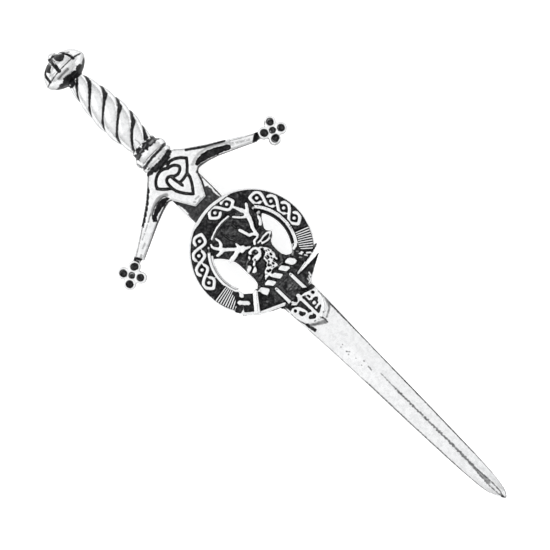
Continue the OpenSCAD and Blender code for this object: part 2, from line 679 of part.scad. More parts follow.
// Hinge, wire and catch in one plain piece, each end on a pad under the blade
module brooch_pin() color("darkgray") translate([0, collar_y - pin_top, 0]) {
    wire_z = foot_wall + wire_d / 2;
    ear_t = 1;
    top = back_z - seat_gap;
    foot_r = wire_d / 2 + foot_wall;
    // Wire from the hinge's barrel through the catch
    translate([0, 0, wire_z]) rotate([90, 0, 0]) cylinder(h = pin_len + 2, d = wire_d);
    // Hinge: two ears with the barrel between them
    translate([-foot_w / 2, 0, wire_z]) rotate([0, 90, 0]) cylinder(h = foot_w, r = foot_r - 0.25);
    for (x = [-foot_w / 2, foot_w / 2 - ear_t]) {
        translate([x, 0, wire_z]) rotate([0, 90, 0]) cylinder(h = ear_t, r = foot_r);
        translate([x, -foot_r, wire_z]) cube([ear_t, 2 * foot_r, top - wire_z]);
    }
    translate([-foot_w / 2, -1.5 * foot_r, top - pad_t]) cube([foot_w, 3 * foot_r, pad_t]);
    // Catch: an upright with a hook round the wire
    translate([0, -pin_len - foot_r, 0]) {
        difference() {
            translate([-foot_w / 2, 0, 0]) cube([foot_w, 2 * foot_r, wire_z + foot_r]);
            translate([-foot_w / 2 + foot_wall, -1, foot_wall]) cube([foot_w, 2 * foot_r + 2, wire_d]);
        }
        translate([-wire_d / 2, 0, foot_wall / 2]) cube([wire_d, 2 * foot_r, wire_d]);
        translate([-foot_w / 2, 0, wire_z]) cube([foot_w * 0.4, 2 * foot_r, top - wire_z]);
        translate([-foot_w / 2, -0.5 * foot_r, top - pad_t]) cube([foot_w, 3 * foot_r, pad_t]);
    }
}

sword();
crest_badge();
brooch_pin();
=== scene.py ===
import math

import bmesh
import bpy
import numpy as np
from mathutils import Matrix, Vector


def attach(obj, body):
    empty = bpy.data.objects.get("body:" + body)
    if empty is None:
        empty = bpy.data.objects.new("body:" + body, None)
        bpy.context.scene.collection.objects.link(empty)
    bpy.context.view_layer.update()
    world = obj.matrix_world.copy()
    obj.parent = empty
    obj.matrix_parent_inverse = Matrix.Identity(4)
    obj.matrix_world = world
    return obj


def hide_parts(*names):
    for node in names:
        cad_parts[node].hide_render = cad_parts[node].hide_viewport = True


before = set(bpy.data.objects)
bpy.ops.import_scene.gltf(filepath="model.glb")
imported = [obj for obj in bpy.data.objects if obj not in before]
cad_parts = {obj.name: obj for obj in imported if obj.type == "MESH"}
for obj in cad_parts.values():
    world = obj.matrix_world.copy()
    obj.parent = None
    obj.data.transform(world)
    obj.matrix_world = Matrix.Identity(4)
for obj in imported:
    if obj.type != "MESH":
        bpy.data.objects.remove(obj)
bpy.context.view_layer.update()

# Lengths below are millimetres. Y runs to the pommel, Z is the face, and the pin's feet stand on z = 0.
mm = 0.001

# Where the camera stands: it looks straight down on a point of the face, at the height of the plane
view = {"lookAt": (-0.2, 0.54), "plane": 7.6, "distance": 330, "frameWide": 93.3, "turn": -45.94}

# Tool: a bead is built wider on each side, as its edges mirror the soot, and drops there by a share of its half
# width; all edges waver in waves of a length
tool = {"beadExtra": 0.035, "beadRound": 0.3, "waver": 0.8}


def link(ob):
    bpy.context.scene.collection.objects.link(ob)
    return ob


def getPoints(mesh, kind):
    values = np.empty(len(mesh.vertices) * 3)
    mesh.vertices.foreach_get(kind, values)
    return values.reshape(-1, 3)


def setCoords(mesh, co):
    mesh.vertices.foreach_set("co", co.ravel())
    mesh.update()


def countTriangles(ob):
    return sum(len(p.vertices) - 2 for p in ob.data.polygons)


def baked(ob):
    # puts the result of the object's modifiers in its mesh
    graph = bpy.context.evaluated_depsgraph_get()
    mesh = bpy.data.meshes.new_from_object(ob.evaluated_get(graph))
    ob.modifiers.clear()
    old = ob.data
    ob.data = mesh
    bpy.data.meshes.remove(old)
    return ob


def recast(ob, voxel, rounds):
    # one closed skin of small even squares, smoothed by some rounds
    remesh = ob.modifiers.new("remesh", "REMESH")
    remesh.mode = "VOXEL"
    remesh.voxel_size = voxel
    smooth = ob.modifiers.new("soften", "SMOOTH")
    smooth.factor = 0.5
    smooth.iterations = rounds
    return baked(ob)


def castCopy(node, name, voxel, rounds):
    # a solid's copy in millimetres, merged and remeshed, to be worked like wax
    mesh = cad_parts[node].data.copy()
    bm = bmesh.new()
    bm.from_mesh(mesh)
    bmesh.ops.scale(bm, vec=Vector((1 / mm,) * 3), verts=bm.verts)
    bmesh.ops.remove_doubles(bm, verts=bm.verts, dist=1e-4)
    bm.to_mesh(mesh)
    bm.free()
    mesh.materials.clear()
    return recast(link(bpy.data.objects.new(name, mesh)), voxel, rounds)


def ramp(value, low, high):
    t = np.clip((value - low) / (high - low), 0, 1)
    return t * t * (3 - 2 * t)


def grain(x, y, size):
    # a smooth, uneven pattern between about -1 and 1, the same in every run
    total = 0
    for k in range(6):
        a = 2.4 * k + 0.7
        total = total + np.sin((x * math.cos(a) + y * math.sin(a)) * (5.0 + 1.3 * k) / size + 1.9 * k)
    return total / 3


# The wax of a piece: its points, how far each faces up, its tone from 0, black, to 1, bare metal, and where the
# camera sees it on the photograph's plane
def waxOf(ob, cutting):
    co, normals = getPoints(ob.data, "co"), getPoints(ob.data, "normal")
    wax = {"co": co, "up": normals[:, 2], "tone": np.ones(len(co)), "cutting": cutting}
    sighted(wax)
    return wax


def sighted(wax):
    co = wax["co"]
    away = (co[:, 2] - view["plane"]) / view["distance"]
    wax["seen"] = co[:, :2] + (co[:, :2] - np.array(view["lookAt"])) * away[:, None]


def curve(points, steps=5):
    # a smooth line through points
    p = np.array(points, dtype=float)
    if len(p) == 1:
        p = np.vstack([p, p + 1e-3])
    p = np.vstack([2 * p[0] - p[1], p, 2 * p[-1] - p[-2]])
    t = np.linspace(0, 1, steps, endpoint=False)[:, None]
    line = [
        0.5 * (2 * b + (c - a) * t + (2 * a - 5 * b + 4 * c - d) * t ** 2 + (3 * b - a - 3 * c + d) * t ** 3)
        for a, b, c, d in zip(p, p[1:], p[2:], p[3:])
    ]
    return np.vstack(line + [p[-2:-1]])


def boxed(wax, path, reach, low):
    # numbers of the points above low in a box round a line, and where they are seen
    seen = wax["seen"]
    least, most = path.min(axis=0) - reach, path.max(axis=0) + reach
    ids = np.flatnonzero(((seen > least) & (seen < most)).all(axis=1) & (wax["co"][:, 2] > low))
    return ids, seen[ids]


def near(wax, path, reach, low):
    # numbers of the points within reach of a line, their distances and shares of the way along
    ids, p = boxed(wax, path, reach, low)
    best, along = np.full(len(ids), 1e9), np.zeros(len(ids))
    steps = np.linalg.norm(np.diff(path, axis=0), axis=1)
    done = 0
    for a, b, step in zip(path, path[1:], steps):
        t = np.clip((p - a) @ (b - a) / step ** 2, 0, 1)
        d = np.linalg.norm(p - a - t[:, None] * (b - a), axis=1)
        closer = d < best
        best[closer] = d[closer]
        along[closer] = (done + t[closer] * step) / steps.sum()
        done += step
    keep = best < reach
    return ids[keep], best[keep], along[keep]


def stroke(wax, points, width, tone, depth=0.0, to=None, domed=None, shift=0, low=8.2, soft=0.1, rag=0.03):
    # one stroke along a smooth line: it cuts by depth, presses to a height or builds up a domed bead, on what lies
    # above low; its edge is soft over a width and ragged by rag
    path = curve(points) + (shift, 0)
    w0, w1 = width if isinstance(width, tuple) else (width, width)
    bead = tool["beadExtra"] if domed is not None else 0.0
    ids, d, along = near(wax, path, max(w0, w1) / 2 + bead + soft + rag, low)
    if not len(ids):
        return
    d = d + rag * grain(*wax["seen"][ids].T, tool["waver"])
    half = (w0 + (w1 - w0) * along) / 2 + bead
    k = 1 - ramp(d, half - soft / 2, half + soft / 2)
    if wax["cutting"]:
        z = wax["co"][ids, 2]
        if to is not None:
            z = z + (to - z) * k
        if domed is not None:
            swell = np.sqrt(np.clip(1 - (d / half) ** 2, 0, 1))
            z = np.where(d < half, np.maximum(z, domed - tool["beadRound"] * half * (1 - swell)), z)
        wax["co"][ids, 2] = z - depth * k
    wax["tone"][ids] += (tone - wax["tone"][ids]) * k


def strokes(wax, table, **ways):
    # rows of [points, width or widths at both ends, tone, other ways]
    for points, width, tone, *own in table:
        stroke(wax, points, width, tone, **{**ways, **(own[0] if own else {})})


def patch(wax, outline, tone, depth=0.0, to=None, shift=0, low=8.2, soft=0.1, rag=0.03, grow=0.0):
    # an area inside an outline, grown a little, pressed to a height or cut by a depth
    path = np.array([*outline, outline[0]], dtype=float) + (shift, 0)
    ids, p = boxed(wax, path, 0.2, low)
    x, y = p.T
    inside = np.zeros(len(ids), dtype=bool)
    d = np.full(len(ids), 1e9)
    for a, b in zip(path, path[1:]):
        if a[1] != b[1]:
            crossed = (a[1] > y) != (b[1] > y)
            inside ^= crossed & (x < (b[0] - a[0]) * (y - a[1]) / (b[1] - a[1]) + a[0])
        span = b - a
        t = np.clip(((x - a[0]) * span[0] + (y - a[1]) * span[1]) / (span @ span), 0, 1)
        d = np.minimum(d, np.hypot(x - a[0] - t * span[0], y - a[1] - t * span[1]))
    d = np.where(inside, -d, d) - grow + rag * grain(x, y, tool["waver"])
    k = 1 - ramp(d, -soft / 2, soft / 2)
    if wax["cutting"]:
        z = wax["co"][ids, 2]
        if to is not None:
            z = z + (to - z) * k
        wax["co"][ids, 2] = z - depth * k
    wax["tone"][ids] += (tone - wax["tone"][ids]) * k


def areas(wax, table, **ways):
    # rows of [outline, tone, other ways]
    for outline, tone, *own in table:
        patch(wax, outline, tone, **{**ways, **(own[0] if own else {})})


def holes(wax, table, **ways):
    # small round or long pits: rows of [x, y, width, length, tone]
    for x, y, width, long, tone in table:
        half = max(long - width, 0.02) / 2
        stroke(wax, [(x, y - half), (x, y + half)], width, tone, **ways)


def asSeen(points, height):
    # where the camera sees points that are given on the part at a height
    middle = np.array(view["lookAt"])
    return middle + (points - middle) * (1 + (height - view["plane"]) / view["distance"])


def thinned(ob, triangles, toneStep=0.1):
    # fewer triangles where neither the shape nor the tone changes: points at the edge of a tone are kept
    mesh = ob.data
    count = countTriangles(ob)
    if count > triangles:
        tone = np.empty(len(mesh.vertices))
        mesh.attributes["wearAndShade"].data.foreach_get("value", tone)
        ends = np.empty(len(mesh.edges) * 2, dtype=int)
        mesh.edges.foreach_get("vertices", ends)
        ends = ends.reshape(-1, 2)
        change = np.abs(tone[ends[:, 0]] - tone[ends[:, 1]]) > toneStep
        kept = np.zeros(len(tone), dtype=bool)
        kept[ends[change].ravel()] = True
        kept[ends[kept[ends].any(axis=1)].ravel()] = True
        free = ob.vertex_groups.new(name="free")
        free.add(np.flatnonzero(~kept).tolist(), 1, "REPLACE")
        thin = ob.modifiers.new("thin", "DECIMATE")
        thin.ratio = triangles / count
        thin.vertex_group = "free"
        baked(ob)
        ob.vertex_groups.clear()
    print(ob.name, "has", countTriangles(ob), "triangles")


def finished(ob, node, material):
    # back to metres, smooth, in its finish, and standing for its solid
    mesh = ob.data
    setCoords(mesh, getPoints(mesh, "co") * mm)
    mesh.polygons.foreach_set("use_smooth", [True] * len(mesh.polygons))
    mesh.materials.append(material)
    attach(ob, "root")
    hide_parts(node)


def made(node, name, look, work, material):
    # casts a solid, cuts it, recasts it without the cutting's folds, and lays the tones on
    ob = castCopy(node, name, look["voxel"], look["soften"])
    wax = waxOf(ob, True)
    work(wax)
    setCoords(ob.data, wax["co"])
    recast(ob, look["voxel"], 1)
    wax = waxOf(ob, False)
    work(wax)
    setCoords(ob.data, wax["co"])
    # the tones hold patina, wear and painted shade
    layer = ob.data.attributes.new("wearAndShade", "FLOAT", "POINT")
    layer.data.foreach_set("value", np.clip(wax["tone"], 0, 1))
    thinned(ob, look["triangles"])
    finished(ob, node, material)


# Cast pewter: its colours, its roughness bare and sooty, the soot's mottling, the clouds in the polish, and the
# height and size of the casting's grain
pewterLook = {
    "bright": (0.80, 0.805, 0.81), "dull": (0.70, 0.705, 0.712), "black": (0.010, 0.010, 0.011),
    "shine": 0.24, "sootRough": 0.5, "mottle": 1.0, "mottleScale": 2.4, "cloudScale": 1.1,
    "grain": 0.012, "grainScale": 3.5,
}
# Steel of the fitting: its colours and roughness from streak to streak, and the streaks' scale along each axis
steelLook = {"dark": (0.42, 0.42, 0.43), "light": (0.62, 0.62, 0.63), "rough": (0.25, 0.4), "streaks": (6, 0.6, 6)}


def newMaterial(name):
    material = bpy.data.materials.new(name)
    material.use_nodes = True
    return material, material.node_tree, material.node_tree.nodes["Principled BSDF"]


def coordsInMm(tree):
    where = tree.nodes.new("ShaderNodeTexCoord")
    inMm = tree.nodes.new("ShaderNodeMapping")
    inMm.inputs["Scale"].default_value = (1 / mm,) * 3
    tree.links.new(where.outputs["Object"], inMm.inputs["Vector"])
    return inMm.outputs["Vector"]


def noiseNode(tree, vector, scale, detail, rough):
    n = tree.nodes.new("ShaderNodeTexNoise")
    n.inputs["Scale"].default_value = scale
    n.inputs["Detail"].default_value = detail
    n.inputs["Roughness"].default_value = rough
    tree.links.new(vector, n.inputs["Vector"])
    return n.outputs["Fac"]


def mathNode(tree, operation, a, b):
    n = tree.nodes.new("ShaderNodeMath")
    n.operation = operation
    for socket, value in zip(n.inputs, (a, b)):
        if isinstance(value, (int, float)):
            socket.default_value = value
        else:
            tree.links.new(value, socket)
    return n.outputs[0]


def rangeNode(tree, value, fromLow, fromHigh, toLow, toHigh, kind="SMOOTHSTEP"):
    n = tree.nodes.new("ShaderNodeMapRange")
    n.interpolation_type = kind
    tree.links.new(value, n.inputs["Value"])
    for name, number in zip(("From Min", "From Max", "To Min", "To Max"), (fromLow, fromHigh, toLow, toHigh)):
        n.inputs[name].default_value = number
    return n.outputs["Result"]


def mixColor(tree, factor, a, b):
    n = tree.nodes.new("ShaderNodeMix")
    n.data_type = "RGBA"
    tree.links.new(factor, n.inputs["Factor"])
    for socket, value in ((n.inputs[6], a), (n.inputs[7], b)):
        if isinstance(value, tuple):
            socket.default_value = (*value, 1)
        else:
            tree.links.new(value, socket)
    return n.outputs[2]


def antiquePewter(name, look):
    # polished cast pewter, blackened where its tone is low, with mottled soot in the deep places
    material, tree, shader = newMaterial(name)
    vector = coordsInMm(tree)
    toneNode = tree.nodes.new("ShaderNodeAttribute")
    toneNode.attribute_name = "wearAndShade"
    tone = toneNode.outputs["Fac"]
    mottle = noiseNode(tree, vector, look["mottleScale"], 5, 0.65)
    patchy = mathNode(tree, "SUBTRACT", mottle, 0.5)
    room = mathNode(tree, "SUBTRACT", 1.05, tone)
    spread = mathNode(tree, "MULTIPLY", mathNode(tree, "MULTIPLY", patchy, look["mottle"]), room)
    worn = mathNode(tree, "MAXIMUM", mathNode(tree, "ADD", tone, spread), 0.0)
    bare = mathNode(tree, "MINIMUM", mathNode(tree, "POWER", worn, 2.2), 1.0)
    clouds = noiseNode(tree, vector, look["cloudScale"], 6, 0.7)
    cloudy = rangeNode(tree, clouds, 0.35, 0.6, 0, 1)
    metal = mixColor(tree, cloudy, look["dull"], look["bright"])
    tree.links.new(mixColor(tree, bare, look["black"], metal), shader.inputs["Base Color"])
    shader.inputs["Metallic"].default_value = 1
    rough = rangeNode(tree, bare, 0, 0.6, look["sootRough"], look["shine"], "LINEAR")
    tree.links.new(rough, shader.inputs["Roughness"])
    bump = tree.nodes.new("ShaderNodeBump")
    bump.inputs["Strength"].default_value = 1
    bump.inputs["Distance"].default_value = look["grain"] * mm
    tree.links.new(noiseNode(tree, vector, look["grainScale"], 4, 0.6), bump.inputs["Height"])
    tree.links.new(bump.outputs["Normal"], shader.inputs["Normal"])
    return material


def plainSteel(name, look):
    # drawn and stamped steel with fine streaks along the pin
    material, tree, shader = newMaterial(name)
    drawn = tree.nodes.new("ShaderNodeMapping")
    drawn.inputs["Scale"].default_value = look["streaks"]
    tree.links.new(coordsInMm(tree), drawn.inputs["Vector"])
    streaks = noiseNode(tree, drawn.outputs["Vector"], 1.5, 3, 0.6)
    tree.links.new(mixColor(tree, streaks, look["dark"], look["light"]), shader.inputs["Base Color"])
    shader.inputs["Metallic"].default_value = 1
    rough = rangeNode(tree, streaks, 0.3, 0.7, *look["rough"], "LINEAR")
    tree.links.new(rough, shader.inputs["Roughness"])
    return material


# Sword: size of the remeshing's squares, rounds of smoothing, most triangles, and the height of the hilt's axis
swordLook = {"voxel": 0.1, "soften": 2, "triangles": 190000, "axis": 7.5}
# The collar leans to the pommel at the front, the nub goes outwards, and the blade wider and to the left
swordBends = {"collar": 0.3, "collarRadius": 3.2, "nub": 0.25, "bladeWider": 0.09, "bladeLeft": 0.2}
# Tones of a few surfaces, and how far each group of marks is shifted
swordTones = {"side": 0.66, "pit": 0.18, "pitMiddle": 0.27, "knot": 0.27, "bladeSoot": 0.28}
swordShifts = {"pommel": -0.2, "collar": -0.3, "guard": -0.35, "foilRight": -0.24, "foilLeft": -0.38, "blade": -0.2}

# Grip: its ends, a full turn's length, its strands, its mean radius, the grooves, and the painted shade that widens
# them at the right and the left
gripLook = {
    "from": 32.0, "to": 48.3, "lead": 13.2, "phase": 1.0, "strands": 4, "radius": 2.5, "steeper": 1.15,
    "groove": 0.22, "depth": 0.12, "tone": 0.17, "shadeRight": 0.32, "shadeLeft": 0.16,
}

# Knot in the middle of the guard: lines as shares of its size from its middle
knot = {"middle": (0, 23.37), "height": 9.0, "size": 3.6, "line": 0.5}
knotPaths = [
    [(-1, 0.44), (-0.87, 0.65), (-0.65, 0.82), (-0.4, 0.91), (-0.15, 0.89), (0.04, 0.76)],
    [(0.04, 0.76), (0.26, 0.92), (0.57, 0.84), (0.82, 0.67), (1, 0.46)], [(1, 0.46), (0.79, 0.21), (0.51, -0.05)],
    [(0.51, -0.05), (0.47, -0.28), (0.26, -0.64), (0.01, -0.94)],
    [(0.01, -0.94), (-0.24, -0.64), (-0.43, -0.31), (-0.49, -0.05)], [(-0.49, -0.05), (-0.76, 0.17), (-1, 0.44)],
    [(0.04, 0.76), (0.25, 0.71), (0.42, 0.57), (0.48, 0.4), (0.35, 0.28), (0.17, 0.23), (0, 0.28), (-0.13, 0.4),
      (-0.31, 0.45), (-0.45, 0.33), (-0.48, 0.14), (-0.49, -0.05)],
    [(-0.13, 0.4), (-0.11, 0.1), (-0.07, -0.11), (-0.05, -0.3)],
    [(-0.07, -0.11), (0.17, -0.12), (0.35, -0.09), (0.51, -0.05)],
]

# Marks of the pommel, the collar and the guard, as areas and strokes
pommelAreas = [
    ([(-4.1, 49.6), (-3.1, 48.95), (-2.2, 49.2), (-1.6, 49.1), (-1, 49.5), (-0.2, 49.5), (0.4, 49.2), (1.1, 49.2),
      (1.6, 49), (2.1, 49.4), (2.6, 49.3), (2.9, 49), (4, 49.6), (3.5, 48.2), (1.9, 47.75), (0.4, 47.9), (-0.1, 47.4),
      (-0.9, 47.3), (-1.45, 47.5), (-1.9, 47.75), (-3.5, 48.2)], 0.1, {"soft": 0.15, "rag": 0.08}),
    ([(-2.55, 52.9), (-1.9, 53.1), (-1.2, 53.25), (-0.95, 52.9), (-1.05, 52.3), (-1.5, 52.05), (-1.9, 51.65),
      (-2.2, 52.1)], 0.12, {"depth": 0.08}),
    ([(0.3, 53.5), (0.75, 53.4), (1.3, 53), (2.1, 52.4), (1.75, 51.95), (1.1, 51.7), (0.55, 52), (0.25, 52.6)],
      0.12, {"depth": 0.08}),
]
pommelStrokes = [
    ([(-4.2, 50.3), (-3, 50.6), (-1.5, 50.85), (0, 50.95), (2, 50.9), (3, 50.75), (4.05, 50.4)], 0.18, 0.3),
    ([(2.9, 50.75), (3.5, 50.6), (3.9, 50.45)], 0.25, 0.25),
    ([(-1.6, 50.05), (-0.6, 50.15), (0.6, 50.1)], (0.4, 0.5), 0.5, {"soft": 0.3}),
    ([(-1.7, 50.35), (0.6, 50.4)], 0.2, 0.8),
    ([(-3, 50.7), (-2.9, 51.6), (-2.55, 52.3), (-2, 52.75)], (0.5, 0.3), 0.14, {"depth": 0.08}),
    ([(-0.6, 50.9), (-0.55, 52), (-0.45, 53.35)], (0.65, 0.5), 0.14, {"depth": 0.08}),
    ([(-1, 53.2), (-0.9, 52.6)], 0.3, 0.45, {"soft": 0.2}),
    ([(2.6, 50.7), (2.45, 51.6), (2.15, 52.3), (1.8, 52.9)], (0.5, 0.2), 0.1, {"depth": 0.08}),
    ([(0.1, 52.35), (0.15, 52.9)], 0.16, 0.8), ([(0, 52.6), (-0.1, 53.1)], 0.18, 0.2),
    ([(0.8, 53.55), (1.6, 53.05), (2.3, 52.5), (2.9, 51.9)], 0.14, 0.4),
    ([(-3.6, 51.9), (-3, 52.4), (-2.3, 52.85)], 0.14, 0.45),
    ([(-0.9, 53.3), (-0.3, 53.38), (0.5, 53.42)], 0.3, 0.22), ([(-1.5, 48.5), (-1, 47.4)], 0.3, 0.12),
    ([(-1.05, 47.95), (-1, 47.85)], 0.22, 0.85), ([(0, 47.6), (0.35, 47.95)], 0.2, 0.9),
]
collarAreas = [
    ([(-1.95, 31.9), (-1.5, 31.7), (-1.1, 32.2), (-0.8, 32.4), (-0.4, 32.2), (-0.2, 31.9), (0.5, 32.2), (1.2, 32.1),
      (1.7, 32.1), (1.95, 31.75), (2.3, 32.2), (2.9, 31.3), (3.1, 30.8), (2, 30.75), (1, 30.9), (0, 31.15),
      (-1, 31), (-1.9, 30.6), (-2.3, 31)], 0.2, {"rag": 0.1}),
    # the next row paints shade in the junction of collar and guard
    ([(-2.9, 28.05), (-1.5, 28.25), (0, 28.1), (1.5, 28.2), (2.5, 28.4), (3.2, 28.25), (3.1, 27.85), (2.6, 27.55),
      (1.9, 27.2), (1.1, 27), (0.75, 26.7), (0.3, 26.9), (-0.7, 27.05), (-1.3, 27.1), (-1.9, 27.4), (-2.9, 27.5)],
      0.16, {"rag": 0.08}),
    ([(-3, 29.35), (-2.2, 29.15), (-1.5, 29.4), (0, 29.65), (1.5, 29.5), (2.6, 29.75), (3.3, 29.6), (3.2, 29.2),
      (2.4, 29.2), (1.4, 29.15), (0.4, 29.1), (-0.6, 29.1), (-1.6, 28.9), (-2.3, 28.75), (-2.9, 28.9)], 0.2,
      {"rag": 0.08}),
]
collarStrokes = [
    ([(-2.9, 29.1), (-1.5, 29.2), (0.3, 29.4), (2, 29.35), (3.1, 29.45)], 0.46, 0.2, {"rag": 0.06}),
    ([(2.35, 31.7), (2.75, 31.1)], 0.5, 0.3, {"soft": 0.2}), ([(1.4, 31.35), (2, 31.3)], 0.4, 0.6, {"soft": 0.3}),
    ([(-0.9, 31.5), (-0.3, 31.5)], 0.25, 0.5, {"soft": 0.2}), ([(0.2, 31.5), (0.8, 31.7)], 0.2, 0.5, {"soft": 0.2}),
    ([(-0.8, 32.1), (-0.75, 32)], 0.45, 0.06), ([(0.3, 30.95), (0.35, 30.85)], 0.26, 0.1),
    ([(-2.65, 30.4), (-2.5, 29.9), (-2.55, 29.4)], 0.22, 0.4), ([(0.5, 28.4), (0.7, 28.35)], 0.25, 0.75),
    ([(-3, 27.4), (-3.6, 26.9), (-4.2, 26.4)], 0.2, 0.5, {"low": 6.6}),
    ([(3.2, 27.8), (4, 27.1), (4.8, 26.4)], 0.2, 0.7, {"low": 6.6}),
    ([(0.1, 33.6), (0.2, 32.9), (0.1, 32.2)], 0.2, 0.75),
]

guardAreas = [
    ([(4.3, 23.3), (4.6, 23.5), (5.2, 23.7), (6.2, 23.75), (7.5, 23.4), (8.8, 22.7), (10.4, 21.7), (10.65, 21.3),
      (10.4, 20.9), (9.9, 20.9), (9.3, 21.3), (8, 21.8), (6.5, 22.4), (5, 22.85), (4.3, 22.9)], 0.12,
      {"to": 8.55, "rag": 0.06}),
    ([(-3, 22.5), (-3.25, 22.95), (-3.9, 23.28), (-4.8, 23.38), (-6, 22.95), (-7.4, 22.2), (-7.65, 21.7),
      (-7.4, 21.25), (-7.1, 21.35), (-6.8, 21.85), (-5.6, 22.15), (-4.4, 22.3)], 0.1, {"to": 8.55, "rag": 0.06}),
    ([(13.3, 18.7), (14, 19.15), (14.6, 19.6), (15.1, 19.8), (15.6, 19.6), (15.05, 19.1), (14.9, 18.6),
      (15.1, 18.1), (15.7, 17.5), (16.05, 17.55), (15.8, 17), (15.7, 16.4), (15.45, 16.4), (15.4, 17.3),
      (14.8, 18), (14.2, 18.4)], 0.08, {"low": 6.3}),
    ([(-14.8, 19.45), (-14.2, 19.8), (-13.85, 19.3), (-13.55, 18.75), (-13.9, 18.2), (-14.4, 17.8), (-15, 17.6),
      (-15.25, 17.3), (-14.9, 17), (-14.3, 17.5), (-13.6, 18.1), (-14.15, 18.3), (-14.1, 18.8), (-14.3, 19.2)], 0.1,
      {"low": 6.3}),
]
guardStrokes = [
    # the first two rows paint shade along the guard's upper edges and walls, and cut them a little
    ([(4.85, 26.2), (6, 25.35), (8, 23.95), (10.45, 22.55)], 0.42, 0.14, {"depth": 0.1, "low": 6.6}),
    ([(-4.25, 26.15), (-7, 23.95), (-9.5, 22.4)], 0.42, 0.14, {"depth": 0.1, "low": 6.6, "rag": 0.08}),
    ([(3.9, 23.65), (5, 24), (6.3, 24.1), (8, 23.6), (9.5, 22.7), (11, 21.7)], (0.45, 0.3), 0.74, {"soft": 0.3}),
    ([(-2.9, 23.2), (-3.7, 23.65), (-4.6, 23.75), (-5.8, 23.4), (-7.2, 22.75)], (0.6, 0.35), 0.62, {"soft": 0.25}),
    ([(-7, 22.95), (-8.4, 22.2)], 0.16, 0.5), ([(-8.8, 22), (-9.8, 21.5)], 0.14, 0.6),
    ([(-10.2, 21.3), (-11.2, 20.9)], 0.14, 0.7),
    ([(10.9, 21.4), (12.4, 20.4), (13.6, 19.6)], (0.5, 0.25), 0.76, {"soft": 0.3}),
    ([(10.6, 22.2), (12.6, 21), (14.8, 19.75)], 0.14, 0.66),
    ([(-9.6, 22.35), (-12, 20.8), (-14.2, 19.5)], 0.16, 0.62, {"low": 6.6}),
    ([(-11.4, 20.1), (-12.2, 19.8)], 0.3, 0.76, {"soft": 0.2}),
    ([(-13.2, 19.2), (-13.6, 18.9)], 0.3, 0.7, {"soft": 0.2}),
    # the next two rows paint a shadow line along the guard's lower edges
    ([(3.5, 22.2), (4.6, 22.6), (6, 22.27), (8, 21.57), (10, 20.57), (12, 19.65), (13.4, 18.9)], (0.36, 0.16), 0.26,
      {"low": 6.6}),
    ([(-3.1, 22), (-3.8, 22.17), (-5, 21.87), (-7, 21.12), (-9, 20.25), (-11, 19.35), (-13.4, 18.25),
      (-14.9, 17.4)], (0.36, 0.16), 0.24, {"low": 6.6}),
    ([(17.8, 16.1), (18.15, 16.05)], 0.32, 0.4), ([(17, 19.4), (17.6, 19.8)], 0.14, 0.6),
    ([(-18.55, 18.6), (-18.6, 18.3)], 0.2, 0.6), ([(-17.8, 16.05), (-17, 16)], 0.16, 0.6),
    ([(16.1, 15.9), (17, 15.65)], 0.14, 0.7),
    # the next two rows paint the shadow at the foot of the tongue's sides on the blade
    ([(3.5, 21.9), (2.9, 20.4), (1.75, 18.2)], (0.3, 0.34), 0.1, {"low": 7.2}),
    ([(-3.15, 21.6), (-2.3, 20.1), (-1, 18.2)], (0.34, 0.26), 0.1, {"low": 7.2}),
    ([(-0.8, 18.05), (0.4, 18), (1.6, 18.05)], 0.2, 0.15, {"low": 7.2}),
    ([(-0.5, 19), (-0.4, 18.85)], 0.3, 0.7, {"soft": 0.2}), ([(0.1, 19.2), (0.7, 19.1)], 0.3, 0.72, {"soft": 0.2}),
    ([(0.3, 18.6), (0.8, 18.7)], 0.24, 0.76, {"soft": 0.2}),
]
# Pits of the foils: rows of [x, y, width]
foilPits = [
    (16.1, 18.55, 1.3), (18.1, 19.1, 1.15), (17.5, 17.9, 1), (18.75, 17.1, 1.15), (16.85, 16.65, 1.3),
    (-17.5, 19.1, 1.2), (-15.3, 18.6, 1.25), (-16.8, 17.8, 0.85), (-18.1, 17.1, 1.25), (-15.95, 16.6, 1.1),
]

# Soot on the blade between guard and badge, on both sides of a bright margin
bladeSoot = [
    (-3.2, 21.9), (-2.8, 20.5), (-2.65, 19.5), (-2.6, 18.3), (-2.95, 18.25), (-2.95, 17.5), (-3.05, 16), (-3, 14),
    (3.2, 14), (3.2, 16.2), (2.9, 17), (2.85, 18), (3, 18.3), (2.95, 19.2), (2.5, 19.6), (2.8, 21), (3.3, 22),
]
